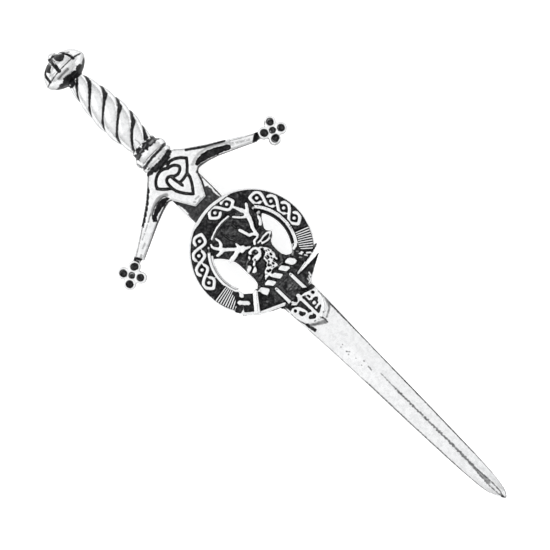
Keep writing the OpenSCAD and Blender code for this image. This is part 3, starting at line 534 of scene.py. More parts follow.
# Soot in the corners where the blade comes out under the badge
bladeAreas = [
    ([(-3.1, -4.2), (-1.6, -4.4), (-2.2, -5.5), (-2.65, -5.7), (-2.6, -4.7), (-2.85, -4.7), (-2.9, -5.6),
      (-3.1, -5.7)], 0.2),
    ([(2.3, -4.6), (3.3, -4.9), (3.45, -5.6), (2.9, -5.85), (2.2, -5.5)], 0.28),
]
bladeStrokes = [
    ([(3.48, 22), (3.4, 19), (3.28, 16.6)], 0.24, 0.2, {"low": 6.4}),
    ([(3.05, -9), (2.87, -17), (2.62, -24), (2.33, -32)], 0.32, 0.3, {"low": 6.3}),
    ([(2.33, -32), (2.07, -38), (1.8, -45)], (0.28, 0.2), 0.42, {"low": 6.3}),
    ([(1.8, -45), (1.52, -50), (1.12, -52.2), (0.5, -53.5), (-0.15, -53.95)], (0.16, 0.16), 0.55, {"low": 6.3}),
    ([(-2.72, -10), (-2.45, -17), (-2.25, -25)], (0.16, 0.18), 0.76, {"low": 6.3}),
    ([(-2.25, -23), (-2.1, -32), (-1.98, -38), (-1.8, -45), (-1.52, -50), (-0.98, -52.6), (-0.15, -53.95)], 0.2, 0.5,
      {"low": 6.3}),
    ([(0.5, -24), (0.44, -26), (0.4, -29)], (0.12, 0.24), 0.66, {"rag": 0.06}),
    ([(0.4, -28), (0.36, -32), (0.28, -38), (0.2, -43), (0.05, -46.8)], (0.28, 0.42), 0.5, {"rag": 0.09}),
    ([(0.04, -46.4), (-0.02, -48), (-0.02, -50)], (0.4, 0.5), 0.64, {"rag": 0.06}),
    ([(-0.05, -46.5), (-0.25, -48.5), (-0.35, -51), (-0.3, -52.4), (-0.15, -53.6)], 0.2, 0.48, {"rag": 0.06}),
    ([(0.1, -46.5), (0.28, -48.5), (0.34, -51), (0.2, -52.4), (-0.15, -53.6)], 0.2, 0.48, {"rag": 0.06}),
    ([(-0.15, -53.2), (-0.15, -53.85)], 0.34, 0.25),
    # the next row paints the chape's shadow along its left side on the blade
    ([(-2.75, -6.2), (-2.7, -7.4), (-2.45, -8.6), (-2.2, -9.4)], (0.2, 0.4), 0.35, {"low": 6.6}),
    ([(-2.25, -9.3), (-2.15, -10.1), (-2, -10.85)], 0.56, 0.14),
    ([(-1.9, -9.75), (-1.2, -10.2), (-0.4, -10.7), (0.25, -11.05)], (0.45, 0.75), 0.58, {"soft": 0.25}),
    ([(-1.6, -10), (-0.9, -10.45)], 0.2, 0.4), ([(0.35, -10.1), (0.55, -10.7), (0.5, -11.4)], (0.34, 0.24), 0.3),
    ([(0.1, -10.25), (0.15, -10.3)], 0.25, 0.95),
    ([(1, -10.7), (2, -10.2), (2.7, -9.6), (3.05, -8.8)], (0.26, 0.42), 0.55, {"soft": 0.2}),
    # the next row paints the chape's shadow along its right side on the blade
    ([(3.2, -6.6), (3.17, -7.6), (3.1, -9)], (0.14, 0.26), 0.5, {"low": 6.6}),
    ([(-0.88, -17.15), (-0.55, -17.6)], 0.18, 0.5), ([(-0.12, -21.6), (-0.15, -22.1), (-0.22, -22.45)], 0.18, 0.5),
]
bladeSpecks = [
    (-0.48, -15.88, 0.2, 0.2, 0.55), (-1, -16, 0.2, 0.22, 0.7), (-1.02, -17.8, 0.24, 0.26, 0.6),
    (-0.6, -19.15, 0.22, 0.24, 0.65), (-0.75, -20.65, 0.2, 0.24, 0.62), (0.05, -20.45, 0.22, 0.36, 0.55),
    (1, 17.8, 0.26, 0.26, 0.5), (1.8, 17.8, 0.26, 0.26, 0.5), (0.35, -27.6, 0.3, 0.3, 0.5),
]


def workGrip(wax):
    look = gripLook
    x, y, z = wax["co"].T
    on = np.flatnonzero((y > look["from"]) & (y < look["to"]))
    x, y, up = x[on], y[on], z[on] - swordLook["axis"]
    far = np.hypot(x, up)
    turn = np.degrees(np.arctan2(-up, x))
    strand = 360 / look["strands"]
    u = ((turn - 360 * (y - look["from"] + look["phase"]) / look["lead"]) / strand) % 1
    across = math.cos(math.atan(2 * math.pi * look["radius"] / look["lead"] * look["steeper"]))
    gap = np.minimum(u, 1 - u) * math.radians(strand) * far * across
    # painted shade widens each groove's lower edge at the right, less near the pommel, and a little at the left edge
    wedge = ramp(x, 0.8, 2.4) * (1 - ramp(x / far, 0.78, 0.88)) * (1 - 0.65 * ramp(y, 43.5, 45.5))
    right = look["shadeRight"] * wedge * (u < 0.5) * (up > 0)
    left = look["shadeLeft"] * ramp(-x, 1.2, 2.2) * (up > 0)
    half = look["groove"] + right + left
    k = 1 - ramp(gap + 0.03 * grain(x, y, tool["waver"]), half - 0.06, half + 0.06)
    if wax["cutting"]:
        wax["co"][on, 0] -= look["depth"] * k * x / far
        wax["co"][on, 2] -= look["depth"] * k * up / far
    wax["tone"][on] += (look["tone"] - wax["tone"][on]) * k


def workSword(wax):
    x, y, z = wax["co"].T
    if wax["cutting"]:
        bends = swordBends
        lean = bends["collar"] * (z - swordLook["axis"]) / bends["collarRadius"]
        wax["co"][:, 1] += lean * ramp(y, 28, 28.6) * (1 - ramp(y, 31, 31.8))
        wax["co"][:, 1] += bends["nub"] * ramp(y, 52.9, 53.6)
        wider = 1 + bends["bladeWider"] * ramp(-y, 8, 40)
        wax["co"][:, 0] = x * wider - bends["bladeLeft"] * ramp(-y, 8, 45) * ramp(y, -55, -50)
    else:
        # sides that face away from the top are painted greyer: painted shade, and less polish where a finger doesn't
        # rub
        side = (wax["up"] > -0.4) & (z > 5.5)
        grey = swordTones["side"]
        wax["tone"][side] = grey + (1 - grey) * ramp(wax["up"][side], 0.1, 0.62)
    workGrip(wax)
    shifts = swordShifts
    areas(wax, pommelAreas, low=7.6, shift=shifts["pommel"])
    strokes(wax, pommelStrokes, low=7.6, shift=shifts["pommel"])
    areas(wax, collarAreas, low=7.6, shift=shifts["collar"])
    strokes(wax, collarStrokes, low=7.6, shift=shifts["collar"])
    for path in knotPaths:
        points = np.array(knot["middle"]) + knot["size"] * np.array(path)
        stroke(wax, asSeen(points, knot["height"]), knot["line"], swordTones["knot"])
    areas(wax, guardAreas, shift=shifts["guard"])
    strokes(wax, guardStrokes, shift=shifts["guard"])
    for x, y, width in foilPits:
        # soot in each pit, round a greyer middle
        own = shifts["foilRight" if x > 0 else "foilLeft"]
        stroke(wax, [(x, y)], width, swordTones["pit"], shift=own, low=7.5)
        stroke(wax, [(x + 0.06, y - 0.06)], 0.5, swordTones["pitMiddle"], shift=own, low=7.5, soft=0.3)
    z = wax["co"][:, 2]
    face = (z < 7.85) & (z > 7.0)  # the soot lies on the blade's face alone, not on the guard
    was = wax["tone"].copy()
    patch(wax, bladeSoot, swordTones["bladeSoot"], shift=shifts["blade"], low=7.2, rag=0.06)
    areas(wax, bladeAreas, shift=shifts["blade"], low=6.6, rag=0.08)
    wax["tone"][~face] = was[~face]
    strokes(wax, bladeStrokes, shift=shifts["blade"], low=7.2, rag=0.04)
    holes(wax, bladeSpecks, shift=shifts["blade"], low=7.2)


# Badge: size of the remeshing's squares, rounds of smoothing and most triangles
badgeLook = {"voxel": 0.085, "soften": 2, "triangles": 195000}
# The middle of its ring, the heights of the strap, the relief, the crest's ground and the lowest of its face, how far
# its marks are shifted, and how far the metal beside the buckle is drawn in
badge = {
    "middle": (0.0, 6.1), "field": 8.85, "relief": 9.4, "ground": 8.6, "face": 7.8, "shift": -0.25, "drawn": 0.32,
}

# The ring, by distance from its middle: a black band, a raised rim and a groove at the right window, a ledge with a
# line at the left one, an outer rim that slopes down, and the angles between which each window lies
ring = {
    "bandIn": 6.5, "rimFrom": 7.24, "rimTo": 7.84, "grooveTo": 8.02, "rimHeight": 9.3, "grooveHeight": 8.7,
    "ledgeIn": 6.6, "ledgeOut": 7.0, "ledgeHeight": 9.2, "ledgeLine": 6.86, "crestEdge": 6.7, "crestFrom": 1.04,
    "outerRim": 10.42, "drawnIn": 0.36, "slope": 1.2, "edgeHeight": 8.15, "right": (325, 42), "left": (140, 212),
}
badgeTones = {
    "soot": 0.16, "sootInside": 0.05, "sootLow": 0.08, "side": 0.3, "outerRim": 0.97, "rimLine": 0.06,
    "wall": 0.92, "ledge": 1, "ledgeLine": 0.72, "band": 0.06, "rim": 1, "groove": 0.1, "under": 0.8,
}

stagAreas = [
    # forehead, cheek and jaw round the eye
    ([(-0.5, 6.3), (-0.35, 6.5), (0.3, 6.57), (0.9, 6.52), (1.35, 6.1), (1.57, 5.7), (1.47, 5.2), (1.1, 4.75),
      (0.7, 4.4), (0.1, 4.35), (-0.35, 4.38), (-0.47, 4.55), (-0.3, 4.8), (-0.65, 4.95), (-0.92, 5.1), (-0.6, 5.3),
      (0.1, 5.38), (0.5, 5.2), (0.82, 5.15), (0.95, 5.5), (0.85, 5.95), (0.5, 6.08), (0.25, 6.15), (0.05, 6.08),
      (-0.15, 5.78), (-0.32, 5.78), (-0.47, 6)], 1),
    # nose, lip and chin
    ([(-2.88, 4.15), (-2.75, 3.86), (-2.4, 3.95), (-1.7, 4.25), (-1.66, 4.6), (-1.9, 5.08), (-2.15, 4.98),
      (-2.45, 4.72)], 1),
    ([(-1.5, 4.32), (-1.4, 4.15), (-1.1, 4.08), (-0.8, 4.35), (-0.5, 4.6), (-0.75, 4.86), (-1.1, 4.7)], 1),
    ([(-2.36, 3.55), (-2.2, 3.72), (-1.5, 4.02), (-1.15, 3.92), (-1.35, 3.45), (-1.75, 3.12), (-2.15, 3.22)], 1),
    # mane
    ([(1.6, 5.75), (1.8, 5.75), (2.15, 5.2), (2.48, 4.75), (2.7, 4.1), (2.7, 3.2), (2.44, 2.7), (2.36, 2.1),
      (2.08, 2.1), (2, 2.75), (1.75, 2.6), (1.75, 1.9), (1.68, 1.15), (1.3, 1.35), (0.6, 1.5), (0, 1.33),
      (-0.35, 1.2), (-1.2, 1.17), (-1.8, 1.05), (-1.2, 1.72), (-0.6, 2.33), (-0.2, 2.52), (0.1, 2.42), (0.25, 2.75),
      (0.62, 3), (0.7, 3.85), (1.1, 4.18), (1.5, 4.32), (1.7, 4.3), (1.75, 4.8)], 1, {"rag": 0.05}),
]
stagStrokes = [
    # brow and muzzle
    ([(-1.12, 5.5), (-0.8, 5.82)], 0.3, 1), ([(-2.4, 4.85), (-1.9, 5.25), (-1.2, 5.6)], 0.3, 0.45, {"domed": 9}),
    ([(-1.7, 5), (-1.3, 4.95)], 0.5, 0.24, {"domed": 8.8}),
    ([(0.62, 5.62), (0.68, 5.6)], 0.36, 0.5, {"domed": 9}),
    ([(0.1, 5.95), (-0.02, 5.6), (0.2, 5.35)], 0.2, 0.4, {"domed": 8.95}),
    # ear
    ([(1.95, 6.38), (2.6, 6.4), (3.5, 6.52), (4.35, 6.44), (4.72, 6.15)], (0.3, 0.34), 1),
    ([(2.4, 5.86), (3.05, 5.68), (3.75, 5.6), (4.35, 5.82), (4.75, 6.1)], (0.32, 0.36), 1),
    ([(4.2, 5.62), (4.9, 5.95)], 0.25, 0.3, {"domed": 8.7}),
    # border, laid a little lower, with gaps beside the antlers
    ([(-4.4, 11.2), (-4.15, 11.95), (-3.45, 12.5), (-2, 13.1), (0, 13.45), (1.6, 13.3), (2.5, 12.85)], 0.76, 0.16,
      {"domed": None, "to": 8.7}),
    ([(-3.1, 12.45), (-2, 12.93), (-1, 13.18), (0, 13.28), (1, 13.24), (1.68, 13.14)], (0.3, 0.36), 1),
    ([(-4.55, 11.75), (-4.45, 11.85)], 0.3, 0.9), ([(-5, 11.25), (-4.8, 11.4)], 0.26, 0.5, {"domed": 9}),
    # antlers
    ([(1.47, 6.7), (1.72, 7.05), (2.25, 7.15), (2.65, 7.12)], (0.46, 0.3), 1),
    ([(-0.95, 7.28), (-0.4, 7.3), (0.1, 7.1), (0.5, 6.92)], (0.55, 0.34), 1),
    ([(-0.25, 7.75), (-1.25, 8.2), (-2.1, 9), (-3, 9.9), (-3.3, 10.4)], (0.5, 0.66), 1),
    ([(-0.15, 7.35), (-0.45, 7.75), (-0.9, 8.1)], (0.45, 0.75), 1),
    ([(-3.35, 10.4), (-3.77, 10.95), (-3.95, 11.5), (-3.85, 11.88)], (0.6, 0.34), 1),
    ([(-3.2, 10.3), (-2.7, 10.6), (-2.44, 11.1), (-2.5, 11.95)], (0.55, 0.36), 1),
    ([(-3.1, 9.75), (-3.7, 9.75), (-4.3, 9.82)], (0.66, 0.5), 1),
    ([(-1.1, 7.95), (-2.3, 7.68), (-3.4, 7.6)], (0.75, 0.8), 1),
    ([(-0.95, 8), (-0.8, 8.45), (-0.72, 8.95)], (0.75, 0.26), 1),
    ([(2.88, 7.3), (3, 8), (3.15, 8.8), (3.7, 9.8), (4, 10.6), (4.14, 11.15)], (0.4, 0.9), 1),
    ([(4.14, 11), (4.14, 11.8), (3.93, 12.6), (3.45, 13.5)], (0.8, 0.36), 1),
    ([(4.4, 11.2), (4.75, 11.6), (5.3, 12.4)], (0.5, 0.5), 1),
    ([(3.8, 11), (3.37, 11.2), (2.67, 11.85), (2.18, 12.5)], (0.5, 0.36), 1),
    ([(1.34, 10.1), (1.6, 9.3), (1.85, 8.35)], (0.5, 0.58), 1),
    ([(1.85, 8.4), (2.45, 8.05), (2.88, 7.45)], (0.58, 0.42), 1), ([(5.25, 9.45), (4.9, 8.75), (4.45, 8.3)], 0.46, 1),
    ([(5.5, 10), (5.85, 9.95)], 0.36, 0.8), ([(5.65, 11.2), (5.8, 11.05)], 0.3, 0.8),
    # marks in the ground
    ([(-1.05, 11.3), (-0.9, 10.4), (-0.55, 9.6)], 0.16, 0.34, {"domed": 8.68}),
    ([(1.2, 11.7), (1.2, 10.9)], 0.18, 0.32, {"domed": 8.68}),
    ([(2.9, 6.9), (3.9, 7.1)], 0.4, 0.36, {"domed": 8.68, "soft": 0.3}),
    ([(-2.4, 1.9), (-1.5, 2.1)], 0.6, 0.34, {"domed": 8.68, "soft": 0.4}),
    ([(-3.2, 1), (-3.1, 1.1)], 0.35, 0.42, {"domed": 8.7}),
    ([(-2.4, 1.15), (-2.3, 1.2)], 0.28, 0.4, {"domed": 8.7}),
    ([(2.7, 1.5), (3, 2.2)], 0.5, 0.34, {"domed": 8.68, "soft": 0.4}), ([(-0.4, 1.35), (-0.4, 0.85)], 0.4, 1),
    ([(1.6, 1.25), (2, 1.2), (2.45, 1.12)], 0.26, 0.5, {"domed": 9}),
    ([(4.6, 0.85), (5.1, 1.2)], 0.3, 0.6, {"domed": 8.9}),
]
stagCuts = [
    ([(-0.75, 4.12), (-0.1, 4.16), (0.6, 4.25), (1.15, 4.45), (1.62, 4.85), (1.62, 5.3)], 0.22, 0.04, {"to": 8.6}),
    ([(-2.85, 3.82), (-2.1, 3.98), (-1.6, 4.25)], 0.14, 0.06, {"to": 8.7}),
    ([(-1.62, 4.2), (-1.58, 4.75)], 0.14, 0.1, {"to": 8.7}), ([(1.78, 4.9), (1.95, 4.3)], 0.12, 0.45),
    ([(1.75, 4), (1.8, 3.6)], 0.12, 0.5), ([(1.65, 3.1), (1.7, 2.8)], 0.12, 0.5),
    ([(-1, 1.8), (-0.8, 1.6)], 0.12, 0.5), ([(0.55, 1.95), (0.8, 1.7)], 0.1, 0.6),
]
stagHoles = [
    (1.45, 3.55, 0.3, 0.62, 0.1), (2.12, 3.5, 0.3, 0.55, 0.12), (2.32, 4.25, 0.2, 0.45, 0.16),
    (1.02, 2.95, 0.24, 0.36, 0.1), (1.92, 2.45, 0.28, 0.5, 0.12), (1.25, 2.15, 0.3, 0.5, 0.12),
    (0.5, 2.45, 0.34, 0.45, 0.1), (-0.3, 1.85, 0.32, 0.5, 0.12), (0.05, 1.72, 0.4, 0.2, 0.16),
    (1.12, 3.85, 0.14, 0.3, 0.25), (0.75, 2.7, 0.2, 0.2, 0.2), (-0.42, 4.76, 0.24, 0.26, 0.15),
    (2.5, 3.6, 0.1, 0.2, 0.5), (1.14, 3.55, 0.18, 0.6, 0.12), (1.78, 3.05, 0.14, 0.4, 0.2),
    (0.75, 2.2, 0.12, 0.36, 0.3), (0.9, 1.75, 0.12, 0.3, 0.4), (1.6, 2.3, 0.12, 0.5, 0.3),
    (2.05, 4.4, 0.1, 0.5, 0.35), (1.9, 5.1, 0.08, 0.4, 0.4),
]
wreathAreas = [
    ([(-3.8, 0.1), (-3.35, 0.62), (-2.9, 0.55), (-2.3, -0.45), (-2.6, -0.72), (-3.3, -0.95), (-3.6, -0.4)], 1),
    ([(-2.4, 0.6), (-1.95, 0.8), (-1.55, 0.75), (-0.78, -0.25), (-1.08, -0.57), (-1.55, -0.35)], 1),
    ([(-0.68, 0.9), (-0.1, 0.95), (0.2, 0.85), (0.88, -0.15), (0.88, -0.48), (0.15, -0.38)], 1),
    ([(1.05, 0.75), (1.55, 0.88), (2.05, 0.75), (2.78, -0.2), (2.62, -0.52), (2.05, -0.4)], 1),
    ([(2.65, 0.8), (3.1, 0.97), (3.9, 0.8), (4.4, 0.12), (4.4, -0.42), (3.9, -0.62), (3.3, -0.38)], 1),
]
# Buckle, bars and plate below the ring
lowerAreas = [
    ([(-9.3, 0.3), (-9.1, 1.1), (-8.3, 1.5), (-7.4, 2.65), (-7.2, 3.55), (-6.9, 3.5), (-6.4, 3), (-4.8, 1.1),
      (-6.85, -1.2), (-8.1, -0.1)], 0.16, {"to": 8.87, "rag": 0.08}),
    ([(-6.05, 3.27), (-3.8, 1.35), (-6.7, -2.05), (-9.2, 0.22), (-8.45, 0.25), (-7.9, 0.42), (-7.5, 0.7),
      (-7.75, 0.3), (-8.08, -0.1), (-6.85, -1.18), (-4.83, 1.1), (-5.95, 2.12), (-6.35, 1.65), (-6.78, 1.92),
      (-6.85, 2.35), (-6.4, 2.75), (-6.45, 2.95)], 1, {"to": 9.5}),
    ([(-6.3, 3.55), (-4.85, 2.8), (-3.7, 1.6), (-3.85, 1.42), (-4.4, 0.9), (-4.83, 1.1), (-5.95, 2.12)], 1,
      {"to": 9.5, "low": 7}),
    ([(-9.9, 0.1), (-9.15, 0.1), (-6.75, -2.1), (-6.3, -2.3), (-3.3, -4.2), (-2.95, -4.5), (-3.3, -5.2), (-9.9, -3)],
      0.95, {"to": 8.7, "low": 7.6}),
    ([(4.1, 0.9), (5, 1.3), (5.4, 1.75), (6, 1.9), (6.6, 1.5), (6.3, 0.9), (6.2, 0.2), (6.6, -0.5), (7.6, -1.2),
      (5, -1.5), (4.5, 0.2)], 0.2, {"to": 8.8, "rag": 0.08}),
    ([(2.7, -2.05), (4.5, -1.78), (6.5, -1.5), (8, -1.12), (9.1, -0.8), (9.8, -0.9), (8.6, -2.05), (7.9, -2.12),
      (6.5, -2.2), (4.5, -2.2), (2.8, -2.2)], 1, {"to": 9.2, "low": 7.4}),
]
lowerStrokes = [
    ([(-7.5, 1.6), (-6.55, 0.5)], 0.74, 1, {"domed": 9.55}),
    ([(-6.9, -2.35), (-5.2, -3.3), (-3.4, -4.15)], 0.36, 0.72, {"to": 8.75, "low": 7.6}),
    ([(-6.2, -2.15), (-4.3, -3.1), (-2.4, -4)], 0.52, 1, {"domed": 9.3}),
    ([(5.4, -1.5), (7, -1.22), (8.2, -0.92), (9.3, -0.6)], 0.22, 0.1, {"to": 8.8}),
    ([(3, -2.35), (5, -2.4), (6.8, -2.42), (8.2, -2.15)], 0.26, 0.06),
    ([(5.5, 1.4), (6, 1.5), (6.4, 1.85)], 0.5, 1, {"domed": 9.3}),
    ([(5.55, 0.1), (5.8, -0.2)], 0.3, 1, {"domed": 9.2}), ([(5.95, 0.05), (6.1, -0.2)], 0.3, 1, {"domed": 9.2}),
    ([(5.1, -0.35), (5.3, -0.6)], 0.26, 0.6, {"domed": 9}), ([(6, -0.7), (6.25, -1.1)], 0.28, 0.9, {"domed": 9.2}),
    ([(6.5, -0.7), (7, -1.15)], 0.28, 1, {"domed": 9.2}), ([(5.5, 0.7), (5.7, 0.5)], 0.24, 0.5, {"domed": 9}),
    ([(-0.2, -2.6), (1.1, -2.55)], 0.24, 0.42), ([(0, -3.05), (0.3, -3.05)], 0.24, 0.42),
    ([(0.6, -3), (1.2, -3)], 0.22, 0.36), ([(0.95, -3.6), (1.05, -3.55)], 0.36, 0.45),
    ([(-0.9, -1.3), (-0.8, -2.3)], 0.3, 0.34, {"soft": 0.3}), ([(0.1, -1.4), (0.2, -2)], 0.4, 0.32, {"soft": 0.3}),
    ([(0.1, -3.6), (0.15, -4)], 0.2, 0.34), ([(-4.15, -1.6), (-4.1, -1.65)], 0.34, 0.46, {"soft": 0.2}),
    ([(-2.9, -2.2), (-2.95, -2.5), (-3.3, -2.7)], 0.16, 0.36), ([(-1.3, -0.75), (-0.9, -0.8)], 0.2, 0.4),
    ([(-3.2, -0.75), (-3.3, -0.95)], 0.3, 0.6), ([(4.2, -3.9), (4.4, -3.3)], 0.26, 0.95),
    ([(3.75, -4.1), (3.95, -3.7)], 0.26, 0.9), ([(3.4, -4.2), (3.45, -3.85)], 0.22, 0.8),
    ([(3.2, -4.6), (4.6, -4), (6, -3.2)], (0.4, 0.12), 0.95, {"low": 7.4}),
    ([(2.7, -4.85), (3.4, -4.65)], 0.2, 0.6), ([(2.9, -2.9), (2.8, -4.2)], 0.3, 0.34, {"soft": 0.3}),
    ([(-2.75, -4.6), (-2.7, -5.3)], 0.24, 0.6),
]
# Chape of the strap round the blade: its body, then its pockets, which are pressed to one height
chapeAreas = [
    ([(-2.85, -5.95), (-2.5, -5.6), (-2, -5.48), (-1.5, -5.6), (-1.15, -5.9), (-0.4, -5.7), (-0.02, -5.1),
      (0.02, -4.5), (0.45, -4.42), (0.55, -5), (1.3, -5.08), (2, -5.33), (2.6, -5.58), (3.2, -5.8), (3.2, -7),
      (2.95, -8), (2.4, -8.9), (1.5, -9.7), (0.3, -10.1), (-1.2, -9.7), (-2.1, -9), (-2.6, -8), (-2.85, -7)], 1,
      {"to": 9.2}),
]
chapePockets = [
    ([(-1.9, -7.3), (-1.75, -6.9), (-1.45, -6.7), (-1.2, -7.2), (-0.95, -7.5), (-0.95, -7.75), (-1.4, -7.8),
      (-1.7, -7.6)], 0.2),
    ([(-1.15, -5.75), (-0.7, -5.62), (-0.05, -5.6), (-0.02, -8.4), (-0.3, -7.95), (-0.3, -8.05), (-0.68, -7.95),
      (-0.5, -7.6), (-0.62, -7.1), (-0.85, -6.4)], 0.2),
    ([(-1.25, -8.85), (-1.1, -8.55), (-0.75, -8.5), (-0.4, -8.8), (-0.2, -8.75), (-0.05, -8.45), (0, -9.25),
      (-0.3, -9.5), (-0.8, -9.25)], 0.2),
    ([(0.56, -5.4), (0.8, -5.35), (0.95, -5.6), (0.95, -6.6), (1.2, -6.9), (0.8, -7), (0.76, -9), (0.56, -9.35)],
      0.2),
    ([(0.7, -7.05), (1.2, -6.95), (1.7, -6.85), (2.2, -6.95), (2.45, -7.2), (2.2, -7.45), (1.85, -7.65),
      (1.85, -7.95), (1.3, -8.02), (0.7, -7.98)], 0.2),
    ([(0.6, -9.35), (0.6, -8.75), (1, -8.6), (1.35, -8.45), (1.85, -8.5), (1.75, -8.75), (1.2, -9)], 0.2),
]
chapeStrokes = [
    ([(-1.95, -6.2), (-1.9, -6.2)], 0.5, 0.1, {"to": 8.7}), ([(2.4, -6.05), (2.42, -6.15)], 0.5, 0.1, {"to": 8.7}),
    ([(1.42, -5.9), (1.48, -6.25)], 0.3, 0.12, {"to": 8.7}), ([(1.32, -7.5), (1.36, -7.5)], 0.66, 1, {"domed": 9.25}),
    ([(1, -5.5), (1.1, -5.7)], 0.16, 0.4), ([(1.05, -6.75), (1.35, -6.75)], 0.2, 0.9),
    ([(-0.85, -9.72), (-0.75, -9.78)], 0.22, 0.45), ([(1.2, -9.75), (1.4, -9.72)], 0.22, 0.55),
    ([(0.3, -9.95), (0.35, -10.1)], 0.2, 0.6), ([(-0.15, -4.6), (-0.3, -4.9), (-0.5, -5.05)], 0.3, 0.14, {"to": 8.6}),
    ([(-1.95, -4.8), (-1.4, -4.78), (-0.9, -4.66)], 0.26, 0.12, {"to": 8.5}),
    ([(1.45, -4.4), (1.9, -4.82), (2.5, -5.2)], 0.4, 0.14, {"to": 8.5}),
    ([(-1.22, -4.93), (-1, -5.3), (-0.6, -5.45), (-0.1, -5.3), (0.15, -5)], (0.44, 0.26), 1, {"domed": 9.25}),
    ([(-1.12, -4.88), (-1.2, -5.05)], 0.4, 1, {"domed": 9.25}),
    ([(0.22, -4.55), (0.28, -5.6)], (0.5, 0.32), 1, {"domed": 9.25}),
    # the next two rows paint the chape's shadow as a dark line along its sides
    ([(-2.85, -6), (-2.82, -7), (-2.62, -8), (-2.3, -8.9), (-1.9, -9.5)], 0.16, 0.5),
    ([(3.22, -6.6), (3.15, -7.8), (2.85, -8.9), (2.4, -9.6)], 0.16, 0.55),
]
# Ribs of the gathered strap: rows of [angle of the first, pitch, count, distance where they start, where they end]
gatherRows = [(188, 2.5, 9, 7.6, 10.35), (337.2, -2.5, 9, 8.1, 10.35)]


def rimIn(angle):
    # the rim is drawn in where the ring crosses the blade
    return ring["outerRim"] - ring["drawnIn"] * (1 - ramp(np.abs(angle - 90), 15, 27))


def cutRing(wax, far, angle, on, right, ledge):
    # the ring's steps are cut, and the crest's ground is pressed flat before the stag is laid on it again
    co = wax["co"]
    z = co[:, 2]  # follows the cuts
    rim, field = rimIn(angle), badge["field"]
    band = right & (far > ring["bandIn"]) & (far < ring["rimFrom"]) & (z > badge["face"])
    co[band, 2] = np.minimum(z[band], badge["ground"])
    raised = right & (far >= ring["rimFrom"]) & (far < ring["rimTo"]) & (z > 8.4)
    co[raised, 2] = ring["rimHeight"]
    groove = right & (far >= ring["rimTo"]) & (far < ring["grooveTo"]) & (z > 8.4)
    co[groove, 2] = np.minimum(z[groove], ring["grooveHeight"])
    co[ledge, 2] = np.maximum(z[ledge], ring["ledgeHeight"] - 0.25 * (7 - far[ledge]))
    inner = (far < ring["crestEdge"]) & (wax["seen"][:, 1] > ring["crestFrom"]) & (z > badge["ground"]) & ~ledge
    co[inner, 2] = badge["ground"]
    margin = on & (z > field) & (((far > 10.2) & (far < rim)) | ((far > 7.6) & (far < 7.72)))
    co[margin, 2] = field
    outer = on & (far > rim) & (z > ring["edgeHeight"])
    flat = rim + 0.12 + 0.42 * (1 - ramp(np.abs(angle - 90), 17, 24))
    slope = np.maximum(field + 0.1 - (far - flat) * ring["slope"], ring["edgeHeight"])
    co[outer, 2] = np.where(far < flat, field + 0.1, np.minimum(z, slope))[outer]


def toneRing(wax, far, angle, on, right, ledge):
    # soot by height, then the ring's own bands of soot and bare metal
    x, y, z = wax["co"].T
    up, tones, rim, face, edge = wax["up"], badgeTones, rimIn(angle), badge["face"], 0.02
    behindBars = (y < 1.0) & (y > -4.6) & (np.abs(x) < 3)
    base = tones["soot"] + tones["sootInside"] * (far < 6.8) + tones["sootLow"] * behindBars
    tone = base + (1 - base) * ramp(z, 9.02, 9.26)
    # low sides that face outwards are painted grey: painted shade
    tone = np.where((z < 8.3) & (up < 0.5), tones["side"], tone)
    tone[on & (far > rim)] = tones["outerRim"]
    tone[on & (far > rim - 0.16) & (far <= rim)] = tones["rimLine"]
    wall = (far > 6.4) & (far < 7.04) & (z < 8.8) & (z > face) & (up < 0.75) & (y > 1.2)
    tone[wall] = tones["wall"]
    tone[(wall & (x < 0)) | ledge] = tones["ledge"]
    tone[(np.abs(far - ring["ledgeLine"]) < 0.06) & (angle > 156) & (angle < 192) & (z > 8)] = tones["ledgeLine"]
    tone[right & (far > 6.58) & (far < ring["rimFrom"] - edge) & (z > face)] = tones["band"]
    tone[right & (far >= ring["rimFrom"] + edge) & (far < ring["rimTo"] - edge) & (z > 9.1)] = tones["rim"]
    tone[right & (far >= ring["rimTo"]) & (far < ring["grooveTo"]) & (z > face)] = tones["groove"]
    tone[up < -0.3] = tones["under"]
    mottled = (tone < 0.4) & (z > 8.0)
    tone += np.where(mottled, 0.09 * grain(x, y, 1.3) + 0.06 * grain(x, y, 0.5), 0)
    wax["tone"][:] = tone


def workGathers(wax, far, angle):
    # gathers of the strap, as ribs with an even share of metal and gap
    z = wax["co"][:, 2]
    for start, pitch, count, first, last in gatherRows:
        k = (angle - start) / pitch
        on = np.flatnonzero((k > -0.9) & (k < count - 0.3) & (far > first - 0.15) & (far < last) & (z > 8.4))
        f = np.abs((k[on] + 0.5) % 1 - 0.5)
        gap = np.maximum(ramp(f, 0.2, 0.3), k[on] < -0.5)
        if wax["cutting"]:
            wax["co"][on, 2] = badge["field"] + 0.2 + 0.14 * (1 - gap)
        else:
            wax["tone"][on] = 1 - gap


